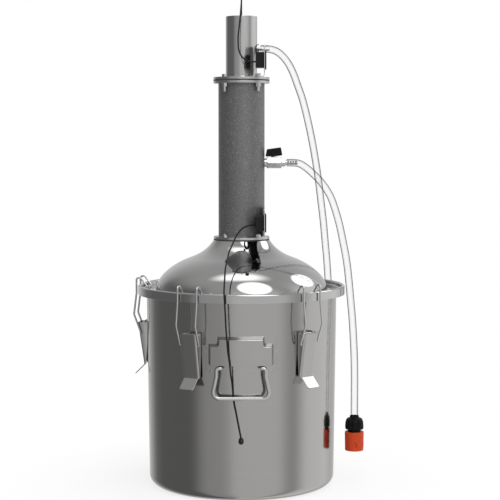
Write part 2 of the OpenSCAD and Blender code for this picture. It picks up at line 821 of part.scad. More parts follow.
module valve_ball() {
    color("gainsboro") translate([valve_axis_x, 0, valve_z]) difference() {
        sphere(valve_ball_r);
        rotate([0, 90, 0]) cylinder(h = 4 * valve_ball_r, r = barb_bore_d / 2, center = true);
        cylinder(h = 2 * valve_ball_r, r = valve_stem_r);
    }
}

module valve_stem() {
    color("gainsboro") translate([valve_axis_x, 0, valve_z]) difference() {
        translate([0, 0, barb_bore_d / 2 + weld_gap])
            cylinder(h = valve_stem_top - barb_bore_d / 2 - weld_gap, r = valve_stem_r);
    }
}

module valve_lever() {
    color("black") translate([valve_axis_x, 0, valve_z]) difference() {
        intersection() {
            rotate([90, 0, 0]) linear_extrude(valve_lever_w, center = true) polygon([
                [-valve_lever_back, valve_lever_low],
                [valve_lever_step, valve_lever_low],
                [valve_lever_step + valve_stem_r, valve_lever_step_high],
                [valve_lever_front, valve_lever_step_high],
                [valve_lever_front, valve_lever_tip_high],
                [-valve_lever_back, valve_lever_high]
            ]);
            translate([(valve_lever_front - valve_lever_back) / 2, 0, 0])
                rounded_block(valve_lever_front + valve_lever_back, valve_lever_w, 2 * valve_lever_tip_high,
                    valve_stem_r);
        }
        translate([0, 0, -over]) cylinder(h = valve_stem_top + over + weld_gap, r = valve_stem_r);
    }
}

// Perforated plates on their rod, in the lower half of the column
rod_low_z = column_z + 2 * rod_over;
module packing_plates() {
    color("tan") for (i = [0:plate_count - 1]) {
        translate([0, 0, rod_low_z + rod_over + i * plate_pitch]) difference() {
            cylinder(h = plate_t, r = column_bore_r - weld_gap);
            translate([0, 0, -over]) cylinder(h = plate_t + 2 * over, r = rod_r);
            for (c = plate_hole_circles, k = [0:plate_hole_count - 1])
                rotate([0, 0, 360 * k / plate_hole_count]) translate([c, 0, -over])
                    cylinder(h = plate_t + 2 * over, r = plate_hole_r);
        }
    }
}

module packing_rod() {
    color("silver") translate([0, 0, rod_low_z])
        cylinder(h = 2 * rod_over + plate_t + (plate_count - 1) * plate_pitch, r = rod_r);
}

// The water coil: from the valve's port round and up, then up a leg to the head nipple
coil_top_z = valve_z + coil_turns * coil_pitch;
module cooling_coil() {
    steps = coil_turns * coil_rings;
    turns = [for (i = [0:steps])
        let (a = 360 * i / coil_rings)
        [coil_r * cos(a), coil_r * sin(a), valve_z + coil_pitch * i / coil_rings]];
    color("silver") {
        swept(turns, coil_tube_r, 0, coil_sides);
        translate([coil_r, 0, valve_z]) {
            sphere(coil_elbow_r);
            rotate([0, 90, 0]) cylinder(h = column_bore_r - coil_r, r = coil_tube_r);
        }
        translate([coil_r, 0, coil_top_z]) {
            sphere(coil_elbow_r);
            rotate([0, -90, 0]) cylinder(h = coil_r - coil_leg_r, r = coil_tube_r);
        }
        translate([coil_leg_r, 0, coil_top_z]) {
            sphere(coil_elbow_r);
            cylinder(h = head_nipple_z - coil_top_z, r = coil_tube_r);
        }
        translate([coil_leg_r, 0, head_nipple_z]) {
            sphere(coil_elbow_r);
            rotate([0, 90, 0]) cylinder(h = head_bore_r - coil_leg_r, r = coil_tube_r);
        }
    }
}

// The far end of the drain hose lies in a flat coil on the floor, wound inwards
coil_start = drain_route[len(drain_route) - 1];
coil_center = [coil_start[0] - hose_d, coil_start[1] + coil_hose_r, coil_start[2]];
function hose_coil_at(i) =
    let (turn = i / coil_rings, a = -90 - 360 * turn, r = coil_hose_r - coil_hose_pitch * turn)
    coil_center + [r * cos(a), r * sin(a), 0];
hose_coil_steps = round(coil_hose_turns * coil_rings);
hose_coil_line = [for (i = [0:hose_coil_steps]) hose_coil_at(i)];
hose_coil_route = concat(
    [coil_start],
    hose_coil_line,
    [hose_coil_line[hose_coil_steps] + hose_d * heading(hose_coil_line, hose_coil_steps)]
);

// The least gap of the coil to itself, between points at least half a turn apart
hose_coil_gap = min([for (i = [0:hose_coil_steps], k = [i + coil_rings / 2:1:hose_coil_steps])
    norm(hose_coil_line[i] - hose_coil_line[k])]) - hose_d;
echo(hose_coil_gap = hose_coil_gap);

// The length of a line of points
function line_length(p) = len(p) < 2 ? 0 : [for (i = [1:len(p) - 1]) norm(p[i] - p[i - 1])] * [for (i = [1:len(p) - 1]) 1];
echo(drain_length = line_length(drain_route) + line_length(hose_coil_route));
echo(supply_length = line_length(supply_route));
echo(lower_cord_length = line_length(lower_cord_route));
echo(upper_cord_length = line_length(upper_cord_route));

module drain_hose() {
    color("gainsboro") swept(drain_route, hose_d / 2, hose_bore_d / 2, hose_sides);
}

module drain_hose_coil() {
    color("gainsboro") swept(hose_coil_route, hose_d / 2, 0, coil_sides);
}

module supply_hose() {
    color("gainsboro") swept(supply_route, hose_d / 2, hose_bore_d / 2, hose_sides);
}

module lower_probe_cord() {
    color("silver") swept(lower_cord_route, cord_d / 2, 0, cord_sides);
}

module lower_probe_bead() {
    end = lower_cord_route[len(lower_cord_route) - 1];
    sink = sqrt(pow(bead_r, 2) - pow(cord_d / 2, 2));
    color("black") difference() {
        translate([end[0], end[1], end[2] - sink]) sphere(bead_r);
        translate(end) cylinder(h = bead_r, r = bead_r);
    }
}

module upper_probe_cord() {
    color("silver") swept(upper_cord_route, cord_d / 2, 0, cord_sides);
}

// The hose nut, with grips round its shoulder, standing at z = 0 under the connector's top
module connector_nut() {
    color("black") translate([connector_x, connector_y, connector_top_z - nut_h]) difference() {
        rotate_extrude() polygon([
            [hose_d / 2 + weld_gap, 0], [nut_foot_r, 0], [nut_foot_r, nut_foot_h],
            [nut_shoulder_r * 0.96, nut_foot_h + hook_gap], [nut_shoulder_r, nut_h * 0.3],
            [nut_shoulder_r * 0.96, nut_h * 0.6], [nut_shoulder_r * 0.84, nut_h * 0.8],
            [nut_neck_r, nut_h * 0.9],
            [nut_neck_r, nut_h], [hose_d / 2 + weld_gap, nut_h]
        ]);
        for (k = [0:nut_grips - 1])
            rotate([0, 0, 360 * (k + 0.5) / nut_grips]) translate([nut_shoulder_r, 0, nut_foot_h - over])
                cylinder(h = nut_h, r = nut_shoulder_r * 0.1);
    }
}

// The inner body: a stem in the hose, a collar under the nut and the socket in the sleeve
connector_joint_z = connector_top_z - nut_h;
connector_low_z = connector_joint_z - sleeve_h;
sleeve_lip_h = sleeve_h - hook_gap - sleeve_wall / 2;
module connector_body() {
    stem_top = supply_route[len(supply_route) - 1][2] + hose_d;
    color("black") translate([connector_x, connector_y, 0]) difference() {
        union() {
            translate([0, 0, connector_joint_z - sleeve_wall])
                cylinder(h = stem_top - connector_joint_z + sleeve_wall, r = connector_stem_r);
            translate([0, 0, connector_low_z + socket_recess])
                cylinder(h = sleeve_lip_h - hook_gap - socket_recess, r = sleeve_r - sleeve_wall - running_fit);
            translate([0, 0, connector_low_z + sleeve_lip_h - over])
                cylinder(h = sleeve_h - sleeve_lip_h + over, r = nut_foot_r);
        }
        translate([0, 0, connector_low_z]) cylinder(h = socket_depth, r = socket_r);
        translate([0, 0, connector_low_z]) cylinder(h = 2 * sleeve_h + nut_h, r = barb_bore_d / 2);
    }
}

module connector_sleeve() {
    color("orangered") translate([connector_x, connector_y, connector_low_z]) difference() {
        rotate_extrude() polygon([
            [sleeve_r - sleeve_wall, 0], [sleeve_r * 0.94, 0], [sleeve_r * 0.97, sleeve_h * 0.04],
            [sleeve_r * 0.99, sleeve_h * 0.6], [sleeve_r, sleeve_h * 0.94],
            [sleeve_r * 0.98, sleeve_h - hook_gap],
            [nut_foot_r + hook_gap, sleeve_h - hook_gap],
            [nut_foot_r + hook_gap, sleeve_lip_h],
            [sleeve_r - sleeve_wall, sleeve_lip_h]
        ]);
        for (k = [0:sleeve_grips - 1])
            facing(sleeve_grip_turn + 360 * k / sleeve_grips)
                translate([0, -sleeve_r - sleeve_wall, sleeve_h * 0.34]) sphere(1.5 * sleeve_wall);
    }
}

// The embossed hood of a handle: flat in front, hollow behind, with its mouth at the bottom
bail_axis_y = -(wall_r(bail_pivot_z) + bail_pivot_out);
hood_mouth_z = bail_pivot_z + bail_r + hood_gap;
hood_front_y = bail_axis_y - bail_r - hood_gap - hood_wall;
module hood_solid(inset) {
    half = hood_half - inset;
    crown = hood_crown_half - inset;
    top = hood_mouth_z + hood_h - inset;
    shoulder = top - hood_step;
    front = hood_front_y + inset;
    back = -wall_r(hood_mouth_z) + pot_corner_r + inset;
    intersection() {
        translate([0, back, 0]) rotate([90, 0, 0]) linear_extrude(back - front) polygon([
            [-half, bail_pivot_z - bail_r], [half, bail_pivot_z - bail_r], [half, shoulder],
            [crown + hood_step / 2, shoulder], [crown, top], [-crown, top],
            [-crown - hood_step / 2, shoulder], [-half, shoulder]
        ]);
        side_plate(2 * half) polygon([
            [-back, bail_pivot_z - bail_r - over], [-front - bail_r, bail_pivot_z - bail_r - over],
            [-front - bail_r, hood_mouth_z], [-front, hood_mouth_z],
            [-front, hood_mouth_z + hood_h * hood_slope_share],
            [-front - bail_pivot_out, top], [-back, top]
        ]);
    }
}

// Space taken by the pot's wall and a little more
module pot_space(gap) {
    rotate_extrude() polygon([
        [0, 0], [wall_r(0) + gap, 0], [wall_r(pot_h) + gap, pot_h], [0, pot_h]
    ]);
}

module hood() {
    low = bail_pivot_z - bail_r;
    difference() {
        union() {
            difference() {
                hood_solid(0);
                translate([0, 0, -hood_wall]) hood_solid(hood_wall);
                // the mouth, where the rod swings out
                translate([-hood_half + hood_wall, hood_front_y - over, low - over])
                    cube([2 * (hood_half - hood_wall), 2 * (hood_gap + bail_rod_d + over), hood_mouth_z - low + over]);
            }
            // the welded plate round the hood
            intersection() {
                pot_space(weld_gap + hood_wall);
                translate([0, -pot_r, 0]) rotate([90, 0, 0])
                    linear_extrude(2 * pot_r, center = true) difference() {
                        polygon([
                            [-hood_half - hood_plate_rim, low], [hood_half + hood_plate_rim, low],
                            [hood_half + hood_plate_rim, hood_mouth_z + hood_h - hood_step + hood_plate_rim],
                            [-hood_half - hood_plate_rim, hood_mouth_z + hood_h - hood_step + hood_plate_rim]
                        ]);
                    }
                translate([-2 * hood_half, -2 * pot_r, 0]) cube([4 * hood_half, 2 * pot_r, pot_h]);
            }
            // the two lugs that the rod's ends turn in
            for (s = [-1, 1])
                translate([s * (bail_top_half - bail_r - lug_inset - lug_t / 2), 0, 0]) side_plate(lug_t) {
                    translate([-bail_axis_y, bail_pivot_z]) circle(bail_r + lug_rim);
                    translate([-bail_axis_y - bail_pivot_out - pot_corner_r, bail_pivot_z - bail_r])
                        square([bail_pivot_out + pot_corner_r, bail_rod_d]);
                }
        }
        pot_space(weld_gap);
        translate([0, bail_axis_y, bail_pivot_z]) rotate([0, 90, 0])
            cylinder(h = 2 * bail_top_half, r = bail_r + running_fit, center = true);
    }
}
// The rod of a handle, hanging from its pivots
module bail() {
    grip_z = bail_pivot_z - bail_drop;
    path = [
        for (q = [
            [bail_top_half - bail_pin_len, bail_pivot_z], [bail_top_half, bail_pivot_z],
            [bail_top_half, bail_pivot_z - bail_knee_drop],
            [bail_grip_half, grip_z], [-bail_grip_half, grip_z],
            [-bail_top_half, bail_pivot_z - bail_knee_drop],
            [-bail_top_half, bail_pivot_z], [-bail_top_half + bail_pin_len, bail_pivot_z]
        ]) [q[0], bail_axis_y, q[1]]
    ];
    bends = [
        0, bail_end_bend_r, bail_knee_bend_r, bail_bend_r, bail_bend_r, bail_knee_bend_r, bail_end_bend_r, 0
    ];
    line = rounded_path(path, bends, [0, 5, 2, 7, 7, 2, 5, 0]);
    swept([for (i = [1:len(line) - 2]) line[i]], bail_r * swept_share, 0, hose_sides);
    // the ends that turn in the lugs
    for (s = [-1, 1])
        translate([s * (bail_top_half - bail_pin_len), bail_axis_y, bail_pivot_z]) rotate([0, 90 * s, 0])
            cylinder(h = bail_pin_len - bail_end_bend_r * 0.8, r = bail_r);
}

module front_hood() color("silver") hood();
module front_bail() color("silver") bail();
module rear_hood() color("silver") facing(180) hood();
module rear_bail() color("silver") facing(180) bail();

// The base of a latch: a plate on the wall with two ears for the pin
module latch_base() {
    low = pivot_z + lever_top - lever_h - base_foot;
    high = pivot_z + ear_reach;
    difference() {
        union() {
            intersection() {
                pot_space(weld_gap + base_t);
                translate([-base_w / 2, -2 * pot_r, low]) cube([base_w, 2 * pot_r, high - low]);
            }
            for (s = [-1, 1])
                translate([s * (base_w - ear_t) / 2, 0, 0]) side_plate(ear_t) union() {
                    translate([pivot_r, pivot_z]) circle(ear_reach);
                    polygon([
                        [pivot_r - pot_corner_r, pivot_z - 4 * ear_reach],
                        [pivot_r - pivot_out + base_t, pivot_z - 4 * ear_reach],
                        [pivot_r + ear_reach * 0.8, pivot_z - ear_reach * 0.6],
                        [pivot_r, pivot_z + ear_reach], [pivot_r - pot_corner_r, pivot_z + ear_reach]
                    ]);
                }
        }
        pot_space(weld_gap);
        translate([0, -pivot_r, pivot_z]) rotate([0, 90, 0])
            cylinder(h = 2 * base_w, r = latch_pin_r, center = true);
    }
}

module latch_bases() {
    color("silver") for (a = latch_angles) facing(a) latch_base();
}

module latch_pins() {
    half = lever_w / 2 + running_fit * 3;
    color("silver") for (a = latch_angles) facing(a) translate([0, -pivot_r, pivot_z]) rotate([0, 90, 0]) {
        cylinder(h = 2 * half, r = latch_pin_r, center = true);
        for (s = [-1, 1])
            translate([0, 0, s * (half + pin_head_t / 2)]) cylinder(h = pin_head_t, r = pin_head_r, center = true);
    }
}

// The side outline of a lever; a thin strip of it is the back and the tab
lever_high_z = pivot_z + lever_top;
lever_low_z = lever_high_z - lever_h;
lever_back_r = wall_r(pivot_z) + lever_back_gap;
lever_front_r = lever_back_r + lever_depth;
lever_foot_r = wall_r(lever_low_z) + lever_foot_out + lever_t;
tab_tip = [lever_foot_r + tab_len * sin(tab_angle), lever_low_z - tab_len * cos(tab_angle)];
tab_normal = lever_t * [cos(tab_angle), sin(tab_angle)];
module latch_lever() {
    difference() {
        union() {
            // the two sides
            for (s = [-1, 1])
                translate([s * (lever_w - lever_t) / 2, 0, 0]) side_plate(lever_t) polygon([
                    [lever_back_r, lever_high_z], [lever_front_r, lever_high_z],
                    [lever_foot_r, lever_low_z], [lever_foot_r - 2 * lever_t, lever_low_z],
                    [lever_back_r, lever_high_z - lever_h / 2]
                ]);
            // the back
            side_plate(lever_w) polygon([
                [lever_front_r - lever_t, lever_high_z], [lever_front_r, lever_high_z],
                [lever_foot_r, lever_low_z], [lever_foot_r - lever_t, lever_low_z]
            ]);
            // the tab
            intersection() {
                side_plate(tab_w) polygon([
                    [lever_foot_r - lever_t, lever_low_z], [lever_foot_r, lever_low_z + lever_t],
                    tab_tip + tab_normal, tab_tip
                ]);
                translate([0, -lever_foot_r, lever_low_z - tab_len]) linear_extrude(2 * tab_len) union() {
                    translate([-tab_w / 2, -tab_tip[0] + lever_foot_r + lever_bend_r])
                        square([tab_w, tab_len]);
                    translate([-tab_w / 2 + lever_bend_r, -2 * tab_len])
                        square([tab_w - 2 * lever_bend_r, 3 * tab_len]);
                    for (s = [-1, 1])
                        translate([s * (tab_w / 2 - lever_bend_r), -tab_tip[0] + lever_foot_r + lever_bend_r])
                            circle(lever_bend_r);
                }
            }
        }
        translate([0, -pivot_r, pivot_z]) rotate([0, 90, 0])
            cylinder(h = 2 * lever_w, r = latch_pin_r + running_fit, center = true);
        translate([0, -pivot_r - link_out, pivot_z - link_drop]) rotate([0, 90, 0])
            cylinder(h = 2 * lever_w, r = wire_r + running_fit, center = true);
    }
}

// The wire link: two arms over the collar, joined by the bar in the groove
module latch_link() {
    low = [pivot_r + link_out, pivot_z - link_drop];
    arch_top = collar_top_z + arch_rise;
    inner_r = rim_wire_r - arch_in;
    foot_r = rim_wire_r - arch_foot_in;
    arm = [
        low, [pivot_r + knee_out, pivot_z + knee_rise], [rim_wire_r, pot_h - skirt_drop],
        [rim_wire_r, arch_top], [inner_r, arch_top], [foot_r, groove_z + wire_r + hook_gap]
    ];
    pin_in = lever_w / 2 - 2 * lever_t;
    path = concat(
        [[-pin_in, -low[0], low[1]]],
        [for (q = arm) [-arm_half, -q[0], q[1]]],
        [for (q = reversed(arm)) [arm_half, -q[0], q[1]]],
        [[pin_in, -low[0], low[1]]]
    );
    arm_bends = [wire_end_bend_r, wire_bend_r, wire_bend_r, arch_r, arch_r, wire_end_bend_r];
    arm_steps = [3, 2, 1, 5, 5, 3];
    bends = concat([0], arm_bends, reversed(arm_bends), [0]);
    line = rounded_path(path, bends, concat([0], arm_steps, reversed(arm_steps), [0]));
    swept([for (i = [1:len(line) - 2]) line[i]], wire_r * swept_share, 0, cord_sides);
    // the ends that turn in the lever
    for (s = [-1, 1])
        translate([s * pin_in, -low[0], low[1]]) rotate([0, 90 * s, 0])
            cylinder(h = arm_half - pin_in - wire_end_bend_r * 0.8, r = wire_r);
}

module placed_lever(i) color("silver") facing(latch_angles[i - 1]) latch_lever();
module placed_link(i) color("silver") facing(latch_angles[i - 1]) latch_link();

pot_shell();
rim_gasket();
dome_lid();
neck_gasket();
neck_studs();
neck_nuts();
column_tube();
column_lower_flange();
column_upper_flange();
head_gasket();
head_flange();
head_tube();
head_bolts();
head_nuts();
head_nipple();
head_stopper();
probe_sleeve();
lower_bracket();
lower_case();
lower_window();
upper_bracket();
upper_case();
upper_window();
valve_body();
valve_ball();
valve_stem();
valve_lever();
outlet_nipple();
packing_plates();
packing_rod();
cooling_coil();
drain_hose();
drain_hose_coil();
supply_hose();
connector_nut();
connector_body();
connector_sleeve();
lower_probe_cord();
lower_probe_bead();
upper_probe_cord();
front_hood();
front_bail();
rear_hood();
rear_bail();
latch_bases();
latch_pins();
placed_lever(1);  // latch_lever_1
placed_lever(2);  // latch_lever_2
placed_lever(3);  // latch_lever_3
placed_lever(4);  // latch_lever_4
placed_lever(5);  // latch_lever_5
placed_link(1);  // latch_link_1
placed_link(2);  // latch_link_2
placed_link(3);  // latch_link_3
placed_link(4);  // latch_link_4
placed_link(5);  // latch_link_5
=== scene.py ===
"""Looks of the bench still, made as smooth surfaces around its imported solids."""
import functools
import math

import bmesh
import bpy
import numpy as np
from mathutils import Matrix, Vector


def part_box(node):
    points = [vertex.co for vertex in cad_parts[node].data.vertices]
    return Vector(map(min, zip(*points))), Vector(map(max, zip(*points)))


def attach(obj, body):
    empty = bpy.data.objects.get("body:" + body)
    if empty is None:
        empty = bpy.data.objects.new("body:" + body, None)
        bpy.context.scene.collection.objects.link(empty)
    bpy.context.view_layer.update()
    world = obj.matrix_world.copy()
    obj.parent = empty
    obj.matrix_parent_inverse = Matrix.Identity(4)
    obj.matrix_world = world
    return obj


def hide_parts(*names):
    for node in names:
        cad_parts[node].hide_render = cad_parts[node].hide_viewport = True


bl_info = {
    "name": "Bench still",
    "version": (1, 0, 0),
    "blender": (4, 5, 0),
    "location": "3D View > Sidebar > Still",
    "description": "Builds the looks of a clamped pot still with a column and two hoses",
    "category": "Object",
}

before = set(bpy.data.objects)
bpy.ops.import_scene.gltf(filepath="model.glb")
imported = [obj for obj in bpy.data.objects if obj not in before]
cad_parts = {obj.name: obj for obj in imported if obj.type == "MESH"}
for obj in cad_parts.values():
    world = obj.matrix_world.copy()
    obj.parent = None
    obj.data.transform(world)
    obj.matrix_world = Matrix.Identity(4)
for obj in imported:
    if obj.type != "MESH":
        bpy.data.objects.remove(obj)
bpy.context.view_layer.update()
MM = 0.001

# Points of the hoses and cords, as in the solids
SUPPLY_ROUTE = MM * np.array([
    (74, 0, 525), (84, 0, 525), (94, 0, 523.5), (105, -2, 517), (118, -5, 505.5), (129, -8, 494),
    (139, -11, 480), (147, -14, 464), (157, -19, 432), (164, -22, 400), (170, -25, 368),
    (174, -26, 335), (177, -26, 303), (180, -26, 270), (182, -26, 238), (183.5, -26, 205),
    (184, -26, 172), (184, -26, 140), (184, -26, 98),
])
DRAIN_ROUTE = MM * np.array([
    (31, 0, 709), (40, 0, 709), (48, 0, 708), (56, 1.5, 705.5), (64, 3, 700), (72, 6, 691.5),
    (79, 10, 681), (85.5, 15, 667.5), (91, 20, 653), (100.5, 30, 627), (109, 40, 595),
    (116.5, 50, 562), (123, 60, 528), (128.5, 70, 495), (133, 78, 461), (137.5, 86, 427),
    (141, 93, 393), (144.5, 99, 358), (147, 104, 325), (149, 108, 290), (150, 113, 240),
    (148, 120, 180), (143, 128, 120), (134, 138, 66), (121, 150, 29), (103, 161, 11),
    (84, 170, 6.5), (66, 174, 6), (54, 174, 6),
])
LOWER_CORD_ROUTE = MM * np.array([
    (22.5, -56, 426.4), (15, -56, 426.4), (8, -60, 424.7), (1.5, -66, 421.5), (-3.9, -76, 416.1),
    (-8.7, -88, 409.5), (-12, -100, 402.5), (-15.3, -112, 395.5), (-18.6, -124, 388.7),
    (-20.6, -136, 380.3), (-22.7, -146, 371.6), (-24.3, -155, 361.9), (-24.9, -162, 350.4),
    (-25.5, -167, 339.8), (-25.7, -170, 333.3), (-25.8, -171.5, 330.5), (-25.6, -172, 327.3),
    (-25.3, -171.6, 320), (-24.8, -171.8, 312), (-24, -171.5, 298), (-23, -171.3, 276),
    (-21.5, -171.5, 256), (-20, -171.5, 238), (-17.5, -171, 221), (-16, -167, 205), (-14, -160.5, 190),
    (-12.8, -156.3, 176), (-12, -155.3, 165), (-10.5, -155.3, 154), (-8, -155.4, 142), (-4, -156, 121),
    (0, -156.8, 101),
])
UPPER_CORD_ROUTE = MM * np.array([
    (22.5, -56, 685.5), (15, -56, 685.5), (8, -55.5, 688), (1.5, -53, 693), (-2.5, -50, 700),
    (-4.5, -48, 708), (-5, -46, 717), (-5, -45, 726), (-4, -44, 735), (-3, -43, 746),
    (-1.8, -41, 757), (-0.8, -37, 769), (0, -31, 781), (0, -22, 791), (0, -12, 795),
    (0, -4, 791), (0, 0, 782), (0, 0, 768), (0, 0, 750),
])

# Where the latches sit round the lid, in degrees from the front
LATCH_ANGLES = (-97, -29, 40, 145, 215)

# The pot's radius under the collar, how far its wall draws in to the bottom, and its height
POT_R = 155 * MM
POT_DRAFT = 3.9 * MM
POT_H = 315 * MM


def node_low(node):
    """Lowest corner of a solid, as an array."""
    return np.array(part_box(node)[0])


def node_high(node):
    """Highest corner of a solid, as an array."""
    return np.array(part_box(node)[1])


def node_foot(node):
    """Middle of the bottom of a solid's box."""
    low, high = node_low(node), node_high(node)
    return np.array(((low[0] + high[0]) / 2, (low[1] + high[1]) / 2, low[2]))


# Surfaces


def smooth_piece(name, mesh, shape):
    """An object whose mesh takes over the faces of a bmesh, shaded smooth."""
    shape.to_mesh(mesh)
    shape.free()
    mesh.polygons.foreach_set("use_smooth", [True] * len(mesh.polygons))
    piece = bpy.data.objects.new(name, mesh)
    bpy.context.scene.collection.objects.link(piece)
    return piece


def grid_piece(name, grid, wrap_rows=False, wrap_columns=True):
    """An object from a grid of points, an array of rows, columns and three coordinates. Each face joins a
    point to the next in its row and in its column. Doubles are merged and faces turned outwards."""
    rows, columns = grid.shape[:2]
    row = np.arange(rows if wrap_rows else rows - 1)
    column = np.arange(columns if wrap_columns else columns - 1)
    a, b = np.meshgrid(row, column, indexing="ij")
    c = (a + 1) % rows
    d = (b + 1) % columns
    corners = [a * columns + b, a * columns + d, c * columns + d, c * columns + b]
    mesh = bpy.data.meshes.new(name)
    mesh.from_pydata(grid.reshape(-1, 3).tolist(), [], np.stack(corners, axis=-1).reshape(-1, 4).tolist())
    shape = bmesh.new()
    shape.from_mesh(mesh)
    bmesh.ops.remove_doubles(shape, verts=shape.verts, dist=2e-6)
    bmesh.ops.recalc_face_normals(shape, faces=shape.faces)
    return smooth_piece(name, mesh, shape)


def unit_rows(vectors):
    """Each vector divided by its length."""
    return vectors / np.linalg.norm(vectors, axis=-1, keepdims=True)


def soft_step(value):
    """0 up to 0, 1 from 1, and between them three times the square less twice the cube."""
    v = np.clip(value, 0, 1)
    return v * v * (3 - 2 * v)


def rounded_line(points, bends, steps=8, closed=False):
    """A line with arcs for corners: an arc of radius R that turns by an angle T starts R tan(T/2) before
    its corner, and is a weighted quadratic curve whose middle weight is cos(T/2)."""
    p = np.asarray(points, float)
    before = unit_rows(p - np.roll(p, 1, axis=0))
    after = unit_rows(np.roll(p, -1, axis=0) - p)
    turn = np.arccos(np.clip(np.sum(before * after, axis=1), -1, 1))
    cut = (np.broadcast_to(np.asarray(bends, float), len(p)) * np.tan(turn / 2))[:, None, None]
    weight = np.cos(turn / 2)[:, None, None]
    t = np.linspace(0, 1, steps + 1)[None, :, None]
    start = p[:, None] - cut * before[:, None]
    end = p[:, None] + cut * after[:, None]
    top = (1 - t) ** 2 * start + 2 * t * (1 - t) * weight * p[:, None] + t ** 2 * end
    arcs = top / ((1 - t) ** 2 + 2 * t * (1 - t) * weight + t ** 2)
    if closed:
        return arcs.reshape(-1, p.shape[1])
    return np.vstack([p[:1], arcs[1:-1].reshape(-1, p.shape[1]), p[-1:]])


def smooth_line(points, steps=5):
    """A smooth line through all points: between two of them it is the cubic whose slopes there are half
    the way from the point before to the point after."""
    p = np.vstack([2 * points[0] - points[1], points, 2 * points[-1] - points[-2]])
    a, b, c, d = p[:-3, None], p[1:-2, None], p[2:-1, None], p[3:, None]
    t = np.linspace(0, 1, steps, endpoint=False)[None, :, None]
    curve = 0.5 * (2 * b + (c - a) * t + (2 * a - 5 * b + 4 * c - d) * t ** 2
                   + (3 * b - a - 3 * c + d) * t ** 3)
    return np.vstack([curve.reshape(-1, 3), points[-1:]])


def carried_sides(line):
    """For each point of a line, two vectors square to it that turn as little as can be: the first is the
    one before, less its part along the new direction."""
    ahead = unit_rows(np.gradient(line, axis=0))
    side = np.cross(ahead[0], (0, 0, 1) if abs(ahead[0][2]) < 0.9 else (0, 1, 0))
    sides = []
    for direction in ahead:
        side = side - side.dot(direction) * direction
        side = side / np.linalg.norm(side)
        sides.append(side)
    sides = np.array(sides)
    return sides, np.cross(ahead, sides)


def tube_grid(line, radius, sides=16):
    """Points of a tube: at each point of the line a circle of the radius, square to the line."""
    across, up = carried_sides(line)
    angle = np.linspace(0, 2 * np.pi, sides, endpoint=False)
    radius = np.broadcast_to(np.asarray(radius, float), len(line))[:, None, None]
    ring = np.cos(angle)[None, :, None] * across[:, None] + np.sin(angle)[None, :, None] * up[:, None]
    return line[:, None] + radius * ring


def rod_grid(line, radius, sides=16):
    """A solid rod: a tube whose ends close to a point over a small round edge. At each end four rings
    stand on the same circle, moved inwards and shrunk by these steps and shares."""
    ease = 0.3
    ahead = unit_rows(np.gradient(line, axis=0))
    steps = np.array([0, 0, 0.4, 1])[:, None] * radius * ease
    shares = np.array([0, 1 - ease, 1 - 0.25 * ease, 1])
    longer = np.vstack([line[:1] - steps[-1] * ahead[0], line, line[-1:] + steps[-1] * ahead[-1]])
    rings = (tube_grid(longer, 1.0, sides) - longer[:, None])[1:-1]
    rings = np.repeat(rings, [4] + [1] * (len(line) - 2) + [4], axis=0)
    centres = np.vstack([line[:1] + steps * ahead[0], line[1:-1], line[-1:] - steps[::-1] * ahead[-1]])
    shares = np.concatenate([shares, np.ones(len(line) - 2), shares[::-1]])
    return centres[:, None] + radius * shares[:, None, None] * rings


def pipe_grid(line, radius, bore, sides=20):
    """A pipe: the outer tube, then the inner one walked backwards, joined at both ends."""
    outer = tube_grid(line, radius, sides)
    inner = tube_grid(line, bore, sides)
    return np.vstack([outer, inner[::-1]])


def turned_grid(outline, sides=96, waves=None):
    """A turned shape: each point (r, z) of the outline goes round Z. Waves, a function of the angle and
    the outline, gives each radius a share to be multiplied by."""
    angle = np.linspace(0, 2 * np.pi, sides, endpoint=False)[None, :]
    outline = np.asarray(outline, float)
    radius = outline[:, :1] * np.ones_like(angle)
    if waves is not None:
        radius = radius * waves(angle, outline)
    height = outline[:, 1:] * np.ones_like(angle)
    return np.stack([radius * np.cos(angle), radius * np.sin(angle), height], axis=-1)


def along_x(grid):
    """A grid built on Z, laid along +X."""
    return np.stack([grid[..., 2], grid[..., 1], -grid[..., 0]], axis=-1)


def turned_about_z(grid, degrees):
    """A grid turned round Z by an angle in degrees."""
    c, s = math.cos(math.radians(degrees)), math.sin(math.radians(degrees))
    x = grid[..., 0] * c - grid[..., 1] * s
    y = grid[..., 0] * s + grid[..., 1] * c
    return np.stack([x, y, grid[..., 2]], axis=-1)


# A level of a block so small that its points merge: half width, half depth and corner radius
POINT = (1e-6, 1e-6, 5e-7)


def stacked_grid(levels, corner_steps=6):
    """A block of rounded rectangles one above another. A level is half its width, half its depth, its
    corner radius and its height; a corner is a quarter circle round a point that radius inside."""
    levels = np.asarray(levels, float)
    quarter = np.linspace(0, np.pi / 2, corner_steps + 1)
    angle = np.concatenate([quarter + k * np.pi / 2 for k in range(4)])[None, :]
    sign_x = np.repeat([1, -1, -1, 1], corner_steps + 1)[None, :]
    sign_y = np.repeat([1, 1, -1, -1], corner_steps + 1)[None, :]
    half_x, half_y, corner, height = (levels[:, k:k + 1] for k in range(4))
    x = sign_x * (half_x - corner) + corner * np.cos(angle)
    y = sign_y * (half_y - corner) + corner * np.sin(angle)
    return np.stack([x, y, height * np.ones_like(x)], axis=-1)


def settle(piece):
    """Applies the modifiers of a piece."""
    graph = bpy.context.evaluated_depsgraph_get()
    done = bpy.data.meshes.new_from_object(piece.evaluated_get(graph))
    done.name = piece.name
    piece.modifiers.clear()
    piece.data = done


def even_normals(piece):
    """Gives large faces their own normals, so that small round edges don't shade them."""
    modifier = piece.modifiers.new("Normals", "WEIGHTED_NORMAL")
    modifier.keep_sharp = True
    settle(piece)


def add_thickness(piece, thickness):
    """Makes a surface a sheet, with half its thickness on each side."""
    sheet = piece.modifiers.new("Sheet", "SOLIDIFY")
    sheet.thickness = thickness
    sheet.offset = 0.0


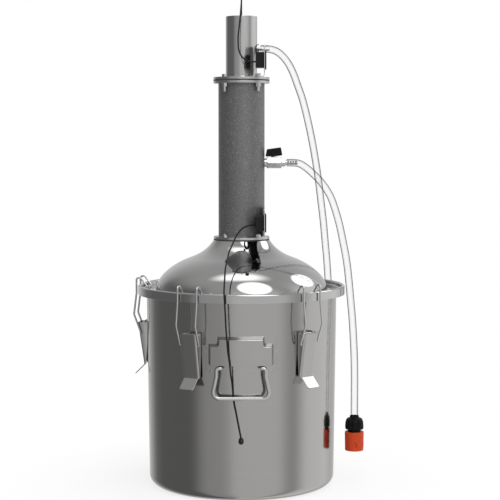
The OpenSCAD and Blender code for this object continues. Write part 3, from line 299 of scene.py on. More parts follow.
def round_edges(piece, width, segments, angle):
    """Rounds the edges that turn by more than an angle in degrees."""
    bevel = piece.modifiers.new("Edges", "BEVEL")
    bevel.width = width
    bevel.segments = segments
    bevel.limit_method = "ANGLE"
    bevel.angle_limit = math.radians(angle)
    return bevel


def paint(piece, finish):
    """Gives a piece one material."""
    piece.data.materials.clear()
    piece.data.materials.append(finish)


def give(piece, finish, body, *nodes):
    """Finishes a piece: its material, the body it rides on and the solids it stands for."""
    paint(piece, finish)
    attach(piece, body)
    if nodes:
        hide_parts(*nodes)


def dress(finish, *nodes):
    """Gives solids that stay as they are a material."""
    for node in nodes:
        paint(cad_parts[node], finish)


def put_piece(name, grid, finish, body, *nodes, wrap_rows=True):
    """A piece from a grid, with even normals, finished."""
    piece = grid_piece(name, grid, wrap_rows)
    even_normals(piece)
    give(piece, finish, body, *nodes)


def put_eased(node, name, finish, width, segments=2):
    """A copy of a solid with its sharp edges rounded, finished to stand for it."""
    shape = bmesh.new()
    shape.from_mesh(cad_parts[node].data)
    bmesh.ops.remove_doubles(shape, verts=shape.verts, dist=1e-6)
    bmesh.ops.dissolve_limit(shape, angle_limit=math.radians(1.5), verts=shape.verts, edges=shape.edges)
    piece = smooth_piece(name, bpy.data.meshes.new(name), shape)
    bevel = round_edges(piece, width, segments, 35)
    bevel.use_clamp_overlap = True
    bevel.harden_normals = True
    even_normals(piece)
    give(piece, finish, "still_body", node)


# Materials


def both_sides(operation):
    """The methods of an operator, for a value on its left and for one on its right."""
    def left(self, other):
        return self.math(operation, self, other)

    def right(self, other):
        return self.math(operation, other, self)
    return left, right


class Value:
    """A node's output that can stand in a sum: each operator adds one Math node."""

    def __init__(self, finish, socket):
        self.finish = finish
        self.socket = socket

    def math(self, operation, first, second=0.0):
        return self.finish.node("ShaderNodeMath", {"operation": operation}, {0: first, 1: second})

    __add__, __radd__ = both_sides("ADD")
    __sub__, __rsub__ = both_sides("SUBTRACT")
    __mul__, __rmul__ = both_sides("MULTIPLY")
    __truediv__, __rtruediv__ = both_sides("DIVIDE")
    __pow__, __rpow__ = both_sides("POWER")

    def over(self, limit):
        """1 where the value is over a limit, else 0."""
        return self.math("GREATER_THAN", self, limit)

    def top(self, other):
        """The larger of two values."""
        return self.math("MAXIMUM", self, other)


class Finish:
    """A node material or world under construction."""

    def __init__(self, owner):
        owner.use_nodes = True
        self.owner = owner
        self.tree = owner.node_tree
        self.tree.nodes.clear()

    def node(self, kind, settings=None, inputs=None, output=0):
        """Adds a node: its settings first, then the values or links of its sockets."""
        made = self.tree.nodes.new(kind)
        for key, value in (settings or {}).items():
            if key == "stops":
                ramp = made.color_ramp
                while len(ramp.elements) < len(value):
                    ramp.elements.new(1.0)
                for element, (place, colour) in zip(ramp.elements, value):
                    element.position = place
                    element.color = colour
            else:
                setattr(made, key, value)
        for key, value in (inputs or {}).items():
            if isinstance(value, Value):
                self.tree.links.new(value.socket, made.inputs[key])
            else:
                made.inputs[key].default_value = value
        return Value(self, made.outputs[output]) if made.outputs else None

    def place(self, scale=(1, 1, 1)):
        """The place on the object, in metres, with a scale for each direction."""
        spot = self.node("ShaderNodeTexCoord", output="Object")
        return self.node("ShaderNodeMapping", {}, {"Vector": spot, "Scale": scale})

    def noise(self, scale, detail=3.0, stretch=(1, 1, 1), roughness=0.5):
        """Noise between 0 and 1 on the object's own coordinates."""
        inputs = {"Vector": self.place(stretch), "Scale": scale, "Detail": detail, "Roughness": roughness}
        return self.node("ShaderNodeTexNoise", {}, inputs)

    def mixed(self, share, first, second):
        """A colour between two colours."""
        settings = {"data_type": "RGBA"}
        return self.node("ShaderNodeMix", settings, {0: share, 6: first, 7: second}, output=2)

    def bump(self, height, strength, distance):
        """A normal from a height."""
        inputs = {"Height": height, "Strength": strength, "Distance": distance}
        return self.node("ShaderNodeBump", {}, inputs)

    def soft(self, value, low, high):
        """0 where a value is at one limit, 1 at the other, and a soft step between them."""
        settings = {"interpolation_type": "SMOOTHSTEP"}
        return self.node("ShaderNodeMapRange", settings, {"Value": value, "From Min": low, "From Max": high})

    def seen(self):
        """1 for rays from the eye, off gloss and through glass, else 0."""
        kinds = ("Camera", "Glossy", "Transmission")
        camera, glossy, through = (
            self.node("ShaderNodeLightPath", output=f"Is {kind} Ray") for kind in kinds)
        return camera.top(glossy).top(through)

    def out(self, surface, kind="Material"):
        """Joins a shader to the output of the material or world."""
        self.node("ShaderNodeOutput" + kind, {}, {"Surface": surface})
        return self.owner

    def shader(self, **inputs):
        """The Principled shader with its values or links, joined to the output."""
        named = {key.replace("_", " "): value for key, value in inputs.items()}
        return self.out(self.node("ShaderNodeBsdfPrincipled", {}, named))


def new_finish(name):
    """A Finish for a new material."""
    return Finish(bpy.data.materials.new(name))


def made_once(build):
    """Builds a material from its name and values, or finds the one that has the name already."""
    @functools.wraps(build)
    def find_or_build(name, *values, **named):
        return bpy.data.materials.get(name) or build(new_finish(name), *values, **named)
    return find_or_build


def shade(level):
    """A grey as a colour."""
    return (level, level, level, 1.0)


def tint(colour, share=1.0, lift=0.0):
    """A colour with its alpha, made darker or lighter."""
    return tuple(min(1.0, share * c + lift) for c in colour[:3]) + (1.0,)


@made_once
def steel_finish(finish, colour, roughness, ring=0.0, stretch=(1, 1, 1), grain=0.03):
    """Steel whose brush marks are noise stretched along the way it was brushed. Slow noise changes the
    roughness like wiped fingerprints do."""
    marks = finish.noise(900.0, 2.0, stretch)
    wipe = finish.noise(9.0, 3.0)
    stain = finish.noise(60.0, 4.0)
    base = finish.mixed(marks * 0.5 + stain * 0.3, tint(colour), tint(colour, 0.9))
    rough = roughness * (0.82 + 0.25 * wipe + ring * marks)
    normal = finish.bump(marks, grain, 0.0004)
    return finish.shader(Base_Color=base, Metallic=1.0, Roughness=rough, Normal=normal)


@made_once
def coat_finish(finish, colour, roughness):
    """A hammered grey coat: soft dimples from smooth cells, with lighter flecks of metal in it."""
    inputs = {"Vector": finish.place(), "Scale": 330.0, "Smoothness": 0.8}
    cells = finish.node("ShaderNodeTexVoronoi", {"feature": "SMOOTH_F1"}, inputs)
    fleck = finish.noise(640.0, 2.0)
    cloud = finish.noise(120.0, 4.0, roughness=0.65)
    base = finish.mixed(0.45 * cloud + 0.35 * fleck + 0.25 * cells, tint(colour, 0.72), tint(colour, 1.35))
    base = finish.mixed(finish.soft(fleck, 0.54, 0.72), base, tint(colour, 2.1))
    rough = roughness * (0.8 + 0.4 * fleck)
    normal = finish.bump(cells + 0.35 * fleck, 0.16, 0.0008)
    return finish.shader(Base_Color=base, Metallic=0.45, Roughness=rough, Normal=normal)


@made_once
def moulded_finish(finish, colour, roughness, grain=0.12, gloss=0.3):
    """Moulded plastic or rubber: a fine grain, and slow changes of gloss and of tone."""
    fine = finish.noise(1800.0, 3.0)
    slow = finish.noise(45.0, 3.0)
    base = finish.mixed(0.6 * slow + 0.25 * fine, tint(colour), tint(colour, 1.25, 0.002))
    rough = roughness * (0.85 + 0.3 * slow)
    normal = finish.bump(fine, grain, 0.0002)
    return finish.shader(Base_Color=base, Roughness=rough, Normal=normal, Specular_IOR_Level=gloss)


@made_once
def hose_finish(finish, wall_share, edge_share, middle_share):
    """Clear silicone: it hides little where it faces the eye, more where the eye looks along its wall, and
    most at its very edge. A faint cloud runs through it."""
    facing = finish.node("ShaderNodeLayerWeight", {}, {"Blend": 0.5}, output="Facing")
    cloud = finish.noise(70.0, 3.0)
    wall = finish.soft(facing, 0.15, 0.32)
    edge = finish.soft(facing, 0.36, 0.5)
    base = finish.mixed(cloud, (0.05, 0.052, 0.052, 1.0), (0.07, 0.072, 0.072, 1.0))
    cover = middle_share * (0.9 + 0.2 * cloud) + wall_share * wall + edge_share * edge
    rough = 0.3 + 0.1 * cloud
    return finish.shader(Base_Color=base, Roughness=rough, Alpha=cover, Specular_IOR_Level=0.2)


@made_once
def screen_finish(finish, colour):
    """A grey-green liquid crystal window with a thin glossy cover."""
    cloud = finish.noise(40.0, 2.0)
    base = finish.mixed(cloud, tint(colour), tint(colour, 0.85))
    return finish.shader(Base_Color=base, Roughness=0.35, Coat_Weight=0.8 + 0.1 * cloud)


# Settings


def length(name, description, default):
    """A setting that is a length: the default is in millimetres, the setting in metres."""
    return bpy.props.FloatProperty(name=name, description=description, default=default * MM, unit="LENGTH")


def hue(name, description, default):
    """A setting that is a colour."""
    return bpy.props.FloatVectorProperty(name=name, description=description, default=default, subtype="COLOR")


# Stage

# Where the camera is, how far it looks down in degrees, and where the lamps look, from how far
CAMERA_PLACE = (0.0138, -2.446, 0.563)
CAMERA_DOWN = 4.22
LAMP_TARGET = np.array((0.0, 0.0, 0.36))
LAMP_REACH = 2.6

# Radius of the tent of grey cards, and its grey at each turn in degrees: front 0, right 90, left -90
TENT_R = 3.6
TENT_GREYS = (
    (-180, 0.66), (-158, 0.68), (-142, 0.5), (-127, 0.23), (-112, 0.175), (-66, 0.175), (-58, 0.22),
    (-50, 0.35), (-42, 0.44), (-24, 0.47), (-16, 0.55), (-8, 0.71), (0, 0.75), (42, 0.76), (48, 0.7),
    (56, 0.55), (64, 0.46), (70, 0.54), (77, 0.72), (84, 0.89), (92, 0.94), (122, 0.98), (132, 0.84),
    (144, 0.66), (180, 0.66),
)

# The ceiling's grey, and the heights between which the cards fade to it
CEILING_GREY = 0.5
CEILING_FADE = (1.4, 3.3)

# The light boxes on the tent, in degrees: turn, rise, half the width and half the height
TENT_BOXES = ((22.5, 48, 17.2, 26.0), (119, 39.5, 13.4, 13.0))
BOX_GREY = 2.6

# The light on the ceiling, as shares of the tent's radius: how far it is off to the left, half its width
# and half its depth
CEILING_LIGHT = (0.02, 0.29, 0.165)


class StageSettings(bpy.types.PropertyGroup):
    """What the camera and the lamps may change."""
    lens: bpy.props.FloatProperty(
        name="Focal length", description="Focal length of the camera", default=108.0, unit="CAMERA")
    floor_colour: hue("Floor", "Colour of the floor", (0.92, 0.92, 0.92))
    key_power: bpy.props.FloatProperty(
        name="Key lamp", description="Power of the front lamp", default=32.0, unit="POWER")
    fill_power: bpy.props.FloatProperty(
        name="Fill lamp", description="Power of the lamp above", default=13.0, unit="POWER")


def direction(turn, rise):
    """The direction with a turn to the right of the front and a rise above level, both in degrees."""
    a, e = math.radians(turn), math.radians(rise)
    return np.array((math.sin(a) * math.cos(e), -math.cos(a) * math.cos(e), math.sin(e)))


def lamp(name, way, power, width, height):
    """A soft oval lamp that looks back at the object from one direction."""
    light = bpy.data.lights.new(name, "AREA")
    light.shape = "ELLIPSE"
    light.size = width
    light.size_y = height
    light.energy = power
    made = bpy.data.objects.new(name, light)
    made.location = LAMP_TARGET + LAMP_REACH * way
    made.rotation_euler = (math.atan2(math.hypot(way[0], way[1]), way[2]), 0.0, math.atan2(way[0], -way[1]))
    made.visible_glossy = False
    bpy.context.scene.collection.objects.link(made)


class STILL_OT_stage(bpy.types.Operator):
    """Makes the camera, the floor, the white background, the studio tent and the lamps"""
    bl_idname = "still.stage"
    bl_label = "Stage"

    def execute(self, context):
        look = context.scene.still_stage
        lens = bpy.data.cameras.new("camera")
        lens.lens = look.lens
        lens.sensor_width = 36.0
        camera = bpy.data.objects.new("camera", lens)
        camera.location = CAMERA_PLACE
        camera.rotation_euler = (math.radians(90 - CAMERA_DOWN), 0.0, 0.0)
        context.scene.collection.objects.link(camera)
        context.scene.camera = camera
        context.scene.view_settings.view_transform = "Standard"
        self.world(context)
        self.floor(look)
        self.tent()
        lamp("front_lamp", direction(21, 43), look.key_power, width=2.2, height=2.2)
        lamp("right_lamp", direction(118, 34), look.key_power * 0.45, width=1.4, height=1.4)
        lamp("top_lamp", direction(0, 88), look.fill_power, width=2.1, height=0.8)
        return {"FINISHED"}

    def world(self, context):
        """White for the eye, for gloss and for glass, and a soft grey for everything else."""
        world = bpy.data.worlds.new("studio")
        context.scene.world = world
        finish = Finish(world)
        soft, white = (
            finish.node("ShaderNodeBackground", {}, {"Color": shade(1.0), "Strength": power})
            for power in (0.5, 1.0))
        finish.out(finish.node("ShaderNodeMixShader", {}, {0: finish.seen(), 1: soft, 2: white}), "World")

    def floor(self, look):
        """A pale disc with its top face just under z = 0, white to the eye but for the shadow on it."""
        radius = np.array([0.0, 0.15, 0.3, 0.4, 0.46])
        floor = grid_piece("floor", turned_grid(np.stack([radius, 0 * radius - 0.0005], axis=-1), 64))
        finish = new_finish("floor_white")
        matt = finish.node("ShaderNodeBsdfDiffuse", {}, {"Color": tint(look.floor_colour)})
        white = finish.node("ShaderNodeEmission", {}, {"Color": shade(1.0), "Strength": 1.0})
        reach = finish.node("ShaderNodeVectorMath", {"operation": "LENGTH"}, {0: finish.place()}, output=1)
        share = finish.seen() * (0.8 + 0.2 * finish.soft(reach, 0.16, 0.45))
        paint(floor, finish.out(finish.node("ShaderNodeMixShader", {}, {0: share, 1: matt, 2: white})))
        floor.visible_glossy = False

    def tent(self):
        """The studio's grey cards, as one round tent that only gloss can see. Its grey depends on the
        direction (x, y, z) from its middle: it goes round the object and fades to the ceiling's grey. A
        light is a soft step of the distance from its middle, in shares of its half width and height."""
        angle = np.linspace(-1.5, np.pi / 2, 44)
        outline = TENT_R * np.stack([np.cos(angle), np.sin(angle)], axis=-1)
        tent = grid_piece("tent", turned_grid(outline, 96))
        finish = new_finish("tent_grey")
        spot = finish.node("ShaderNodeTexCoord", output="Object")
        parts = finish.node("ShaderNodeSeparateXYZ", {}, {"Vector": spot})
        x, y, z = (Value(finish, part) / TENT_R for part in parts.socket.node.outputs)
        turn = finish.node("ShaderNodeMath", {"operation": "ARCTAN2"}, {0: x, 1: -1.0 * y})
        stops = [((a + 180) / 360, shade(grey)) for a, grey in TENT_GREYS]
        grey = finish.node("ShaderNodeValToRGB", {"stops": stops}, {"Fac": turn / (2 * math.pi) + 0.5})
        fade = finish.soft(z, *(height / TENT_R for height in CEILING_FADE))
        colour = finish.mixed(fade, grey, shade(CEILING_GREY))
        left, half_x, half_y = CEILING_LIGHT
        u, v = (x + left) / half_x, y / half_y
        light = finish.soft((u * u + v * v) ** 0.5, 1.5, 0.25) * z.over(0.0)
        for turn_at, rise_at, half_width, half_height in TENT_BOXES:
            a, e = math.radians(turn_at), math.radians(rise_at)
            across = x * math.cos(a) + y * math.sin(a)
            along = x * math.sin(a) - y * math.cos(a)
            up = z * math.cos(e) - along * math.sin(e)
            ahead = z * math.sin(e) + along * math.cos(e)
            u = across / math.sin(math.radians(half_width))
            v = up / math.sin(math.radians(half_height))
            light = light.top(finish.soft((u * u + v * v) ** 0.5, 1.14, 0.9) * ahead.over(0.0))
        colour = finish.mixed(light, colour, shade(BOX_GREY))
        paint(tent, finish.out(finish.node("ShaderNodeEmission", {}, {"Color": colour, "Strength": 1.0})))
        for kind in ("camera", "diffuse", "transmission", "shadow", "volume_scatter"):
            setattr(tent, "visible_" + kind, False)


# Hoses and cords


class HoseSettings(bpy.types.PropertyGroup):
    """Sizes of the hoses and the thermometer cords."""
    outside: length("Hose", "Outside diameter of the hoses", 12)
    bore: length("Bore", "Bore of the hoses", 8.3)
    cord: length("Cord", "Diameter of the thermometer cords", 2.5)
    cord_colour: hue("Cord colour", "Colour of the cords", (0.012, 0.012, 0.013))


def coil_line(start, turns=1.6, radius=76 * MM, pitch=12.8 * MM, tail=12 * MM, steps=36):
    """A flat coil wound inwards: the angle runs clockwise from behind, and the radius shrinks by the
    pitch with each turn."""
    centre = start + np.array((-tail, radius, 0.0))
    turn = np.linspace(0, turns, int(turns * steps) + 1)
    angle = -np.pi / 2 - 2 * np.pi * turn
    r = radius - pitch * turn
    line = np.stack([r * np.cos(angle), r * np.sin(angle), 0 * turn], axis=-1) + centre
    end = line[-1] + tail * unit_rows(line[-1:] - line[-2:-1])[0]
    return np.vstack([line, end])


def clear_hose(name, line, size, *nodes, sides=20):
    """A hose along a line. The faces of its bore come after those of its outside, and have a fainter
    material of their own."""
    hose = grid_piece(name, pipe_grid(line, size.outside / 2, size.bore / 2, sides), True)
    wall = hose_finish("hose_wall", wall_share=0.17, edge_share=0.6, middle_share=0.025)
    bore = hose_finish("hose_bore", wall_share=0.04, edge_share=0.06, middle_share=0.01)
    give(hose, wall, "still_body", *nodes)
    hose.data.materials.append(bore)
    inner = np.arange(len(hose.data.polygons)) >= len(line) * sides
    hose.data.polygons.foreach_set("material_index", inner.astype(int).tolist())
    return hose


class STILL_OT_hoses(bpy.types.Operator):
    """Makes the clear water hoses, the longer one ending in a flat coil on the floor"""
    bl_idname = "still.hoses"
    bl_label = "Water hoses"

    def execute(self, context):
        size = context.scene.still_hoses
        supply = smooth_line(SUPPLY_ROUTE, 6)
        drain = np.vstack([smooth_line(DRAIN_ROUTE, 6), coil_line(DRAIN_ROUTE[-1])])
        hose = clear_hose("supply_hose_tube", supply, size, "supply_hose")
        hose = clear_hose("drain_hose_tube", drain, size, "drain_hose", "drain_hose_coil")
        return {"FINISHED"}


class STILL_OT_cords(bpy.types.Operator):
    """Makes the cords of the two thermometers and the probe on the lower one"""
    bl_idname = "still.cords"
    bl_label = "Thermometer cords"

    def execute(self, context):
        size = context.scene.still_hoses
        black = moulded_finish("cord_black", tint(size.cord_colour), 0.45, gloss=0.15)
        lower = smooth_line(LOWER_CORD_ROUTE, 5)
        upper = smooth_line(UPPER_CORD_ROUTE, 5)
        bead_r = 4.25 * MM
        angle = np.linspace(-np.pi / 2, np.pi / 2, 15)
        outline = bead_r * np.stack([np.cos(angle), 1.1 * np.sin(angle)], axis=-1)
        place = LOWER_CORD_ROUTE[-1] + np.array((0.0, 0.0, -bead_r + 0.3 * MM))
        bead = grid_piece("probe_bead", turned_grid(outline, 32) + place)
        give(bead, moulded_finish("bead_black", shade(0.01), 0.25), "still_body", "lower_probe_bead")
        cord = grid_piece("lower_probe_lead", rod_grid(lower, size.cord / 2, 12))
        give(cord, black, "still_body", "lower_probe_cord")
        cord = grid_piece("upper_probe_lead", rod_grid(upper, size.cord / 2, 12))
        give(cord, black, "still_body", "upper_probe_cord")
        return {"FINISHED"}


# Pot and lid

# How brush marks are drawn out on turned sheet, along X, Y and Z
ROUND_MARKS = (0.02, 0.02, 1.0)


class PotSettings(bpy.types.PropertyGroup):
    """Sizes and colours of the pot and its lid."""
    radius: length("Pot radius", "Radius of the wall under the collar", POT_R / MM)
    draft: length("Draft", "How far the wall draws in to the bottom", POT_DRAFT / MM)
    corner: length("Corner", "Radius of the bottom edge", 16)
    sheet: length("Sheet", "Thickness of the sheet", 1.2)
    height: length("Pot height", "Height of the pot's flange", float(node_high("pot_shell")[2]) / MM)
    collar: length("Collar", "Radius of the lid's collar", float(node_high("dome_lid")[0]) / MM)
    pot_colour: hue("Pot steel", "Colour of the pot", (0.45, 0.445, 0.435))
    lid_colour: hue("Lid steel", "Colour of the lid", (0.52, 0.52, 0.515))


def wall_radius(z):
    """Outside radius of the pot's wall at a height: it grows evenly from the bottom to the flange."""
    return POT_R - POT_DRAFT * (POT_H - z) / POT_H


class STILL_OT_pot(bpy.types.Operator):
    """Makes the pot with its rounded bottom edge and its flange"""
    bl_idname = "still.pot"
    bl_label = "Pot"

    def execute(self, context):
        size = context.scene.still_pot
        t = size.sheet
        low = size.radius - size.draft
        flange = size.radius + 9 * MM
        corners = [(0, 0), (low, 0), (size.radius, size.height - t), (flange, size.height - t),
                   (flange, size.height), (size.radius - t, size.height), (low - t, t), (0, t)]
        bends = [0, size.corner, 1.2 * MM, 0.5 * MM, 0.5 * MM, 2.2 * MM, size.corner - t, 0]
        line = rounded_line(corners, bends, 10)
        steel = steel_finish(
            "pot_sheet", tint(size.pot_colour), 0.13, ring=0.25, stretch=ROUND_MARKS, grain=0.012)
        put_piece("pot", turned_grid(line, 192), steel, "still_body", "pot_shell", wrap_rows=False)
        return {"FINISHED"}


def cubic_curve(points, steps):
    """A curve from the first of four points to the last: their sum, each times its term of the cube of
    (1 - t) + t."""
    p = np.asarray(points, float)
    t = np.linspace(0, 1, steps + 1)[:, None]
    return (1 - t) ** 3 * p[0] + 3 * t * (1 - t) ** 2 * p[1] + 3 * t ** 2 * (1 - t) * p[2] + t ** 3 * p[3]


class STILL_OT_lid(bpy.types.Operator):
    """Makes the lid: rolled collar, groove, dome and the ring on top of it"""
    bl_idname = "still.lid"
    bl_label = "Lid"

    def execute(self, context):
        size = context.scene.still_pot
        t = size.sheet
        # the dome, from its foot to its neck: two curves, as shares of its width and height
        foot_r, neck_r, groove_z = 140 * MM, 45.6 * MM, 319 * MM
        neck_top = float(node_high("dome_lid")[2])
        spread = np.array((foot_r - neck_r, neck_top - groove_z))
        base = np.array((neck_r, groove_z))
        low = base + spread * np.array([(1, 0), (0.995, 0.263), (0.691, 0.526), (0.416, 0.638)])
        high = base + spread * np.array([(0.416, 0.638), (0.214, 0.726), (0.096, 0.826), (0, 1)])
        dome = np.vstack([cubic_curve(low, 28), cubic_curve(high, 28)[1:]])[1:-1]
        slope = unit_rows(np.gradient(dome, axis=0))
        inside = dome + t * np.stack([-slope[:, 1], slope[:, 0]], axis=-1)
        # the rolled edge of the collar, and the groove between it and the dome
        skirt_z, bead_r = 312 * MM, 3 * MM
        middle = np.array((size.collar - bead_r, 326.5 * MM - bead_r))
        angle = np.linspace(0, np.pi, 15)
        bead = middle + bead_r * np.stack([np.cos(angle), np.sin(angle)], axis=-1)
        groove = [bead[-1], (size.collar - 2 * bead_r, groove_z), (foot_r, groove_z), dome[0]]
        groove = rounded_line(groove, [0, 1.5 * MM, 0.6 * MM, 0], 5)
        # the ring inside the neck, and the underside of the groove with the skirt
        ring_r, ring_z = 36 * MM, neck_top - 3 * MM
        crown = [dome[-1], (neck_r, neck_top), (ring_r, neck_top), (ring_r, ring_z),
                 (neck_r - t, ring_z), inside[-1]]
        crown = rounded_line(crown, [0, 0.6 * MM, 0.3 * MM, 0.3 * MM, 0.5 * MM, 0], 5)
        skirt_r = size.collar - t
        under = [inside[0], (foot_r - t, groove_z - t), (skirt_r, groove_z - t), (skirt_r, skirt_z),
                 (size.collar, skirt_z), bead[0]]
        under = rounded_line(under, [0, 1.0 * MM, 0.8 * MM, 0.4 * MM, 0.4 * MM, 0], 5)
        line = np.vstack([bead[1:], groove[1:-1], dome, crown[1:-1], inside[::-1], under[1:]])
        steel = steel_finish(
            "lid_sheet", tint(size.lid_colour), 0.035, ring=0.15, stretch=ROUND_MARKS, grain=0.004)
        put_piece("lid", turned_grid(line, 192), steel, "still_body", "dome_lid")
        dress(gasket_rubber(), "rim_gasket")
        return {"FINISHED"}


# Column and head


class ColumnSettings(bpy.types.PropertyGroup):
    """Sizes and colours of the column and the head tube."""
    column_r: length("Column radius", "Outside radius of the column", 37.5)
    head_r: length("Head radius", "Outside radius of the head tube", 25.4)
    coat_colour: hue("Coat", "Colour of the column's coat", (0.145, 0.145, 0.145))
    steel_colour: hue("Steel", "Colour of flanges and fittings", (0.55, 0.55, 0.545))


def gasket_rubber():
    """The dark rubber of the gaskets."""
    return moulded_finish("gasket_rubber", (0.045, 0.045, 0.047), 0.65)


def node_heights(node):
    """The lowest and the highest height of a solid."""
    return float(node_low(node)[2]), float(node_high(node)[2])


class STILL_OT_column(bpy.types.Operator):
    """Makes the coated column, the flanges, their gaskets and bolts, and what is inside"""
    bl_idname = "still.column"
    bl_label = "Column"

    def execute(self, context):
        size = context.scene.still_column
        low, high = node_heights("column_tube")
        # the tube gets a little wider over a short way at both ends
        r, way = size.column_r, 1.4 * MM
        inner, lip = r - 1.5 * MM, r + 0.5 * MM
        corners = [(inner, low), (lip, low), (r, low + way), (r, high - way), (lip, high), (inner, high)]
        line = rounded_line(corners, MM * np.array([0.2, 0.2, 1.0, 1.0, 0.2, 0.2]), 5, True)
        coat = coat_finish("hammered_coat", tint(size.coat_colour), 0.42)
        put_piece("column", turned_grid(line, 128), coat, "still_body", "column_tube")
        steel = steel_finish("fitting_steel", tint(size.steel_colour), 0.2)
        for node in ("column_lower_flange", "column_upper_flange", "head_flange"):
            put_eased(node, node.replace("flange", "plate"), steel, 0.5 * MM, 3)
        for node in ("neck_gasket", "head_gasket"):
            put_eased(node, node.replace("gasket", "seal"), gasket_rubber(), 0.3 * MM)
        bolts = steel_finish("bolt_steel", shade(0.6), 0.18)
        for node in ("neck_studs", "neck_nuts", "head_bolts", "head_nuts"):
            put_eased(node, node.replace("neck_", "lower_").replace("head_", "upper_"), bolts, 0.3 * MM)
        dress(steel, "packing_rod", "packing_plates", "cooling_coil", "outlet_nipple")
        return {"FINISHED"}


class STILL_OT_head(bpy.types.Operator):
    """Makes the head tube, and gives its nipple, the stopper and the probe sleeve their looks"""
    bl_idname = "still.head"
    bl_label = "Head"

    def execute(self, context):
        size = context.scene.still_column
        low, high = node_heights("head_tube")
        # the tube gets a little wider over a short way at its foot
        r, way = size.head_r, 1.5 * MM
        inner, lip = r - 1.5 * MM, r + 0.6 * MM
        corners = [(inner, low), (lip, low), (r, low + way), (r, high), (inner, high)]
        line = rounded_line(corners, MM * np.array([0.2, 0.2, 1.0, 0.5, 0.4]), 5, True)
        steel = steel_finish(
            "head_steel", tint(size.steel_colour), 0.16, ring=0.2, stretch=ROUND_MARKS, grain=0.015)
        put_piece("head", turned_grid(line, 96), steel, "still_body", "head_tube")
        dress(steel_finish("fitting_steel", tint(size.steel_colour), 0.2), "head_nipple", "probe_sleeve")
        rubber = moulded_finish("stopper_silicone", shade(0.06), 0.5)
        put_eased("head_stopper", "stopper", rubber, 0.8 * MM, 3)
        return {"FINISHED"}


# Thermometers


class ThermometerSettings(bpy.types.PropertyGroup):
    """Sizes and colours of the thermometers."""
    width: length("Width", "Width of the bezel", 48)
    height: length("Height", "Height of the bezel", 28.6)
    colour: hue("Case", "Colour of the case", (0.011, 0.011, 0.012))
    screen: hue("Display", "Colour of the display", (0.36, 0.40, 0.33))


# How far the front of a thermometer's bezel is ahead of its back, and how deep the case is behind it
BEZEL_DEPTH = 2.3 * MM
CASE_DEPTH = 14.8 * MM


def thermometer_grid(centre, size):
    """The case of a thermometer, facing +X: levels from the back of the case over the bezel's round edge
    to the floor of the display's recess. Both ends close at a point."""
    w, h = size.width / 2, size.height / 2
    body_w, body_h = w - 2.4 * MM, h - 2.4 * MM
    back, plate, front = -CASE_DEPTH, 0.0, BEZEL_DEPTH
    ease = 0.6 * MM
    small = 0.2 * ease
    levels = [
        POINT + (back,),
        (body_w - ease, body_h - ease, 1.6 * MM, back),
        (body_w - small, body_h - small, 2 * MM, back + 0.3 * ease),
        (body_w, body_h, 2 * MM, back + ease),
        (body_w, body_h, 2 * MM, plate),
        (w - 0.2 * MM, h - 0.2 * MM, 3 * MM, plate),
        (w, h, 3 * MM, plate + 0.2 * MM),
        (w, h, 3 * MM, front - ease),
        (w - small, h - small, 2.8 * MM, front - 0.4 * ease),
        (w - ease, h - ease, 2.5 * MM, front),
        (20.2 * MM, 10.7 * MM, 2 * MM, front),
        (19.4 * MM, 9.9 * MM, 2 * MM, front - 0.3 * MM),
        (19 * MM, 9.5 * MM, 2 * MM, front - 1 * MM),
        POINT + (front - 1 * MM,),
    ]
    grid = stacked_grid(levels)
    return np.stack([grid[..., 2], grid[..., 0], grid[..., 1]], axis=-1) + centre


class STILL_OT_thermometers(bpy.types.Operator):
    """Makes the two thermometers on their brackets"""
    bl_idname = "still.thermometers"
    bl_label = "Thermometers"

    def execute(self, context):
        size = context.scene.still_thermometers
        black = moulded_finish("case_black", tint(size.colour), 0.4, gloss=0.15)
        screen = screen_finish("display_grey", tint(size.screen))
        steel = steel_finish("bracket_steel", (0.6, 0.6, 0.595), 0.16)
        for part in ("lower", "upper"):
            low, high = node_low(part + "_case"), node_high(part + "_case")
            centre = np.array((high[0] - BEZEL_DEPTH, (low[1] + high[1]) / 2, (low[2] + high[2]) / 2))
            grid = thermometer_grid(centre, size)
            put_piece(part + "_thermometer", grid, black, "still_body", part + "_case", wrap_rows=False)
            dress(screen, part + "_window")
            put_eased(part + "_bracket", part + "_plate", steel, 0.25 * MM)
        return {"FINISHED"}


# Valve and connector

# Outlines in millimetres: radius and place along the axis. The valve's runs from the column outwards:
# boss, six-sided body, hose nut and a barb with four ribs
VALVE_CORNERS = (
    [(2.25, 37.2), (7, 37.2), (7, 41), (9.1, 41), (10.5, 42.3), (10.5, 63.7), (9.1, 65), (6.4, 65.2),
     (7.2, 65.8), (7.2, 70.4), (6.4, 71), (4.6, 71), (4.6, 74.2), (3.2, 74.6)]
    + [(r, x + step) for step in (0, 4, 8) for r, x in ((3.9, 77), (3.2, 77.4), (3.2, 78.6))]
    + [(3.9, 89), (3.2, 91), (2.25, 91)]
)
VALVE_BODY_ENDS = (40.9, 65.1)
VALVE_NUT_ENDS = (65.1, 71.1)
SEAT_CORNERS = [(2.7, 8.5), (4.8, 8.5), (4.8, 9.9), (2.7, 9.9)]
NUT_CORNERS = [(6.1, 0), (10.5, 0), (10.5, 3.6), (14.5, 3.9), (15.1, 7.8), (14.5, 15.6), (12.7, 20.8),
               (7.4, 23.4), (7.4, 26), (6.1, 26)]
NUT_BENDS = (0.1, 0.3, 0.5, 1, 4, 6, 2.5, 1.2, 0.4, 0.1)
SLEEVE_CORNERS = [(13.3, 0), (14.57, 0), (15.03, 1.24), (15.34, 18.6), (15.5, 29.14), (15.19, 30.7),
                  (10.8, 30.7), (10.8, 29.6), (13.3, 29.6)]
SLEEVE_BENDS = (0.3, 0.5, 0.6, 2, 0.7, 0.5, 0.3, 0.1, 0.3)

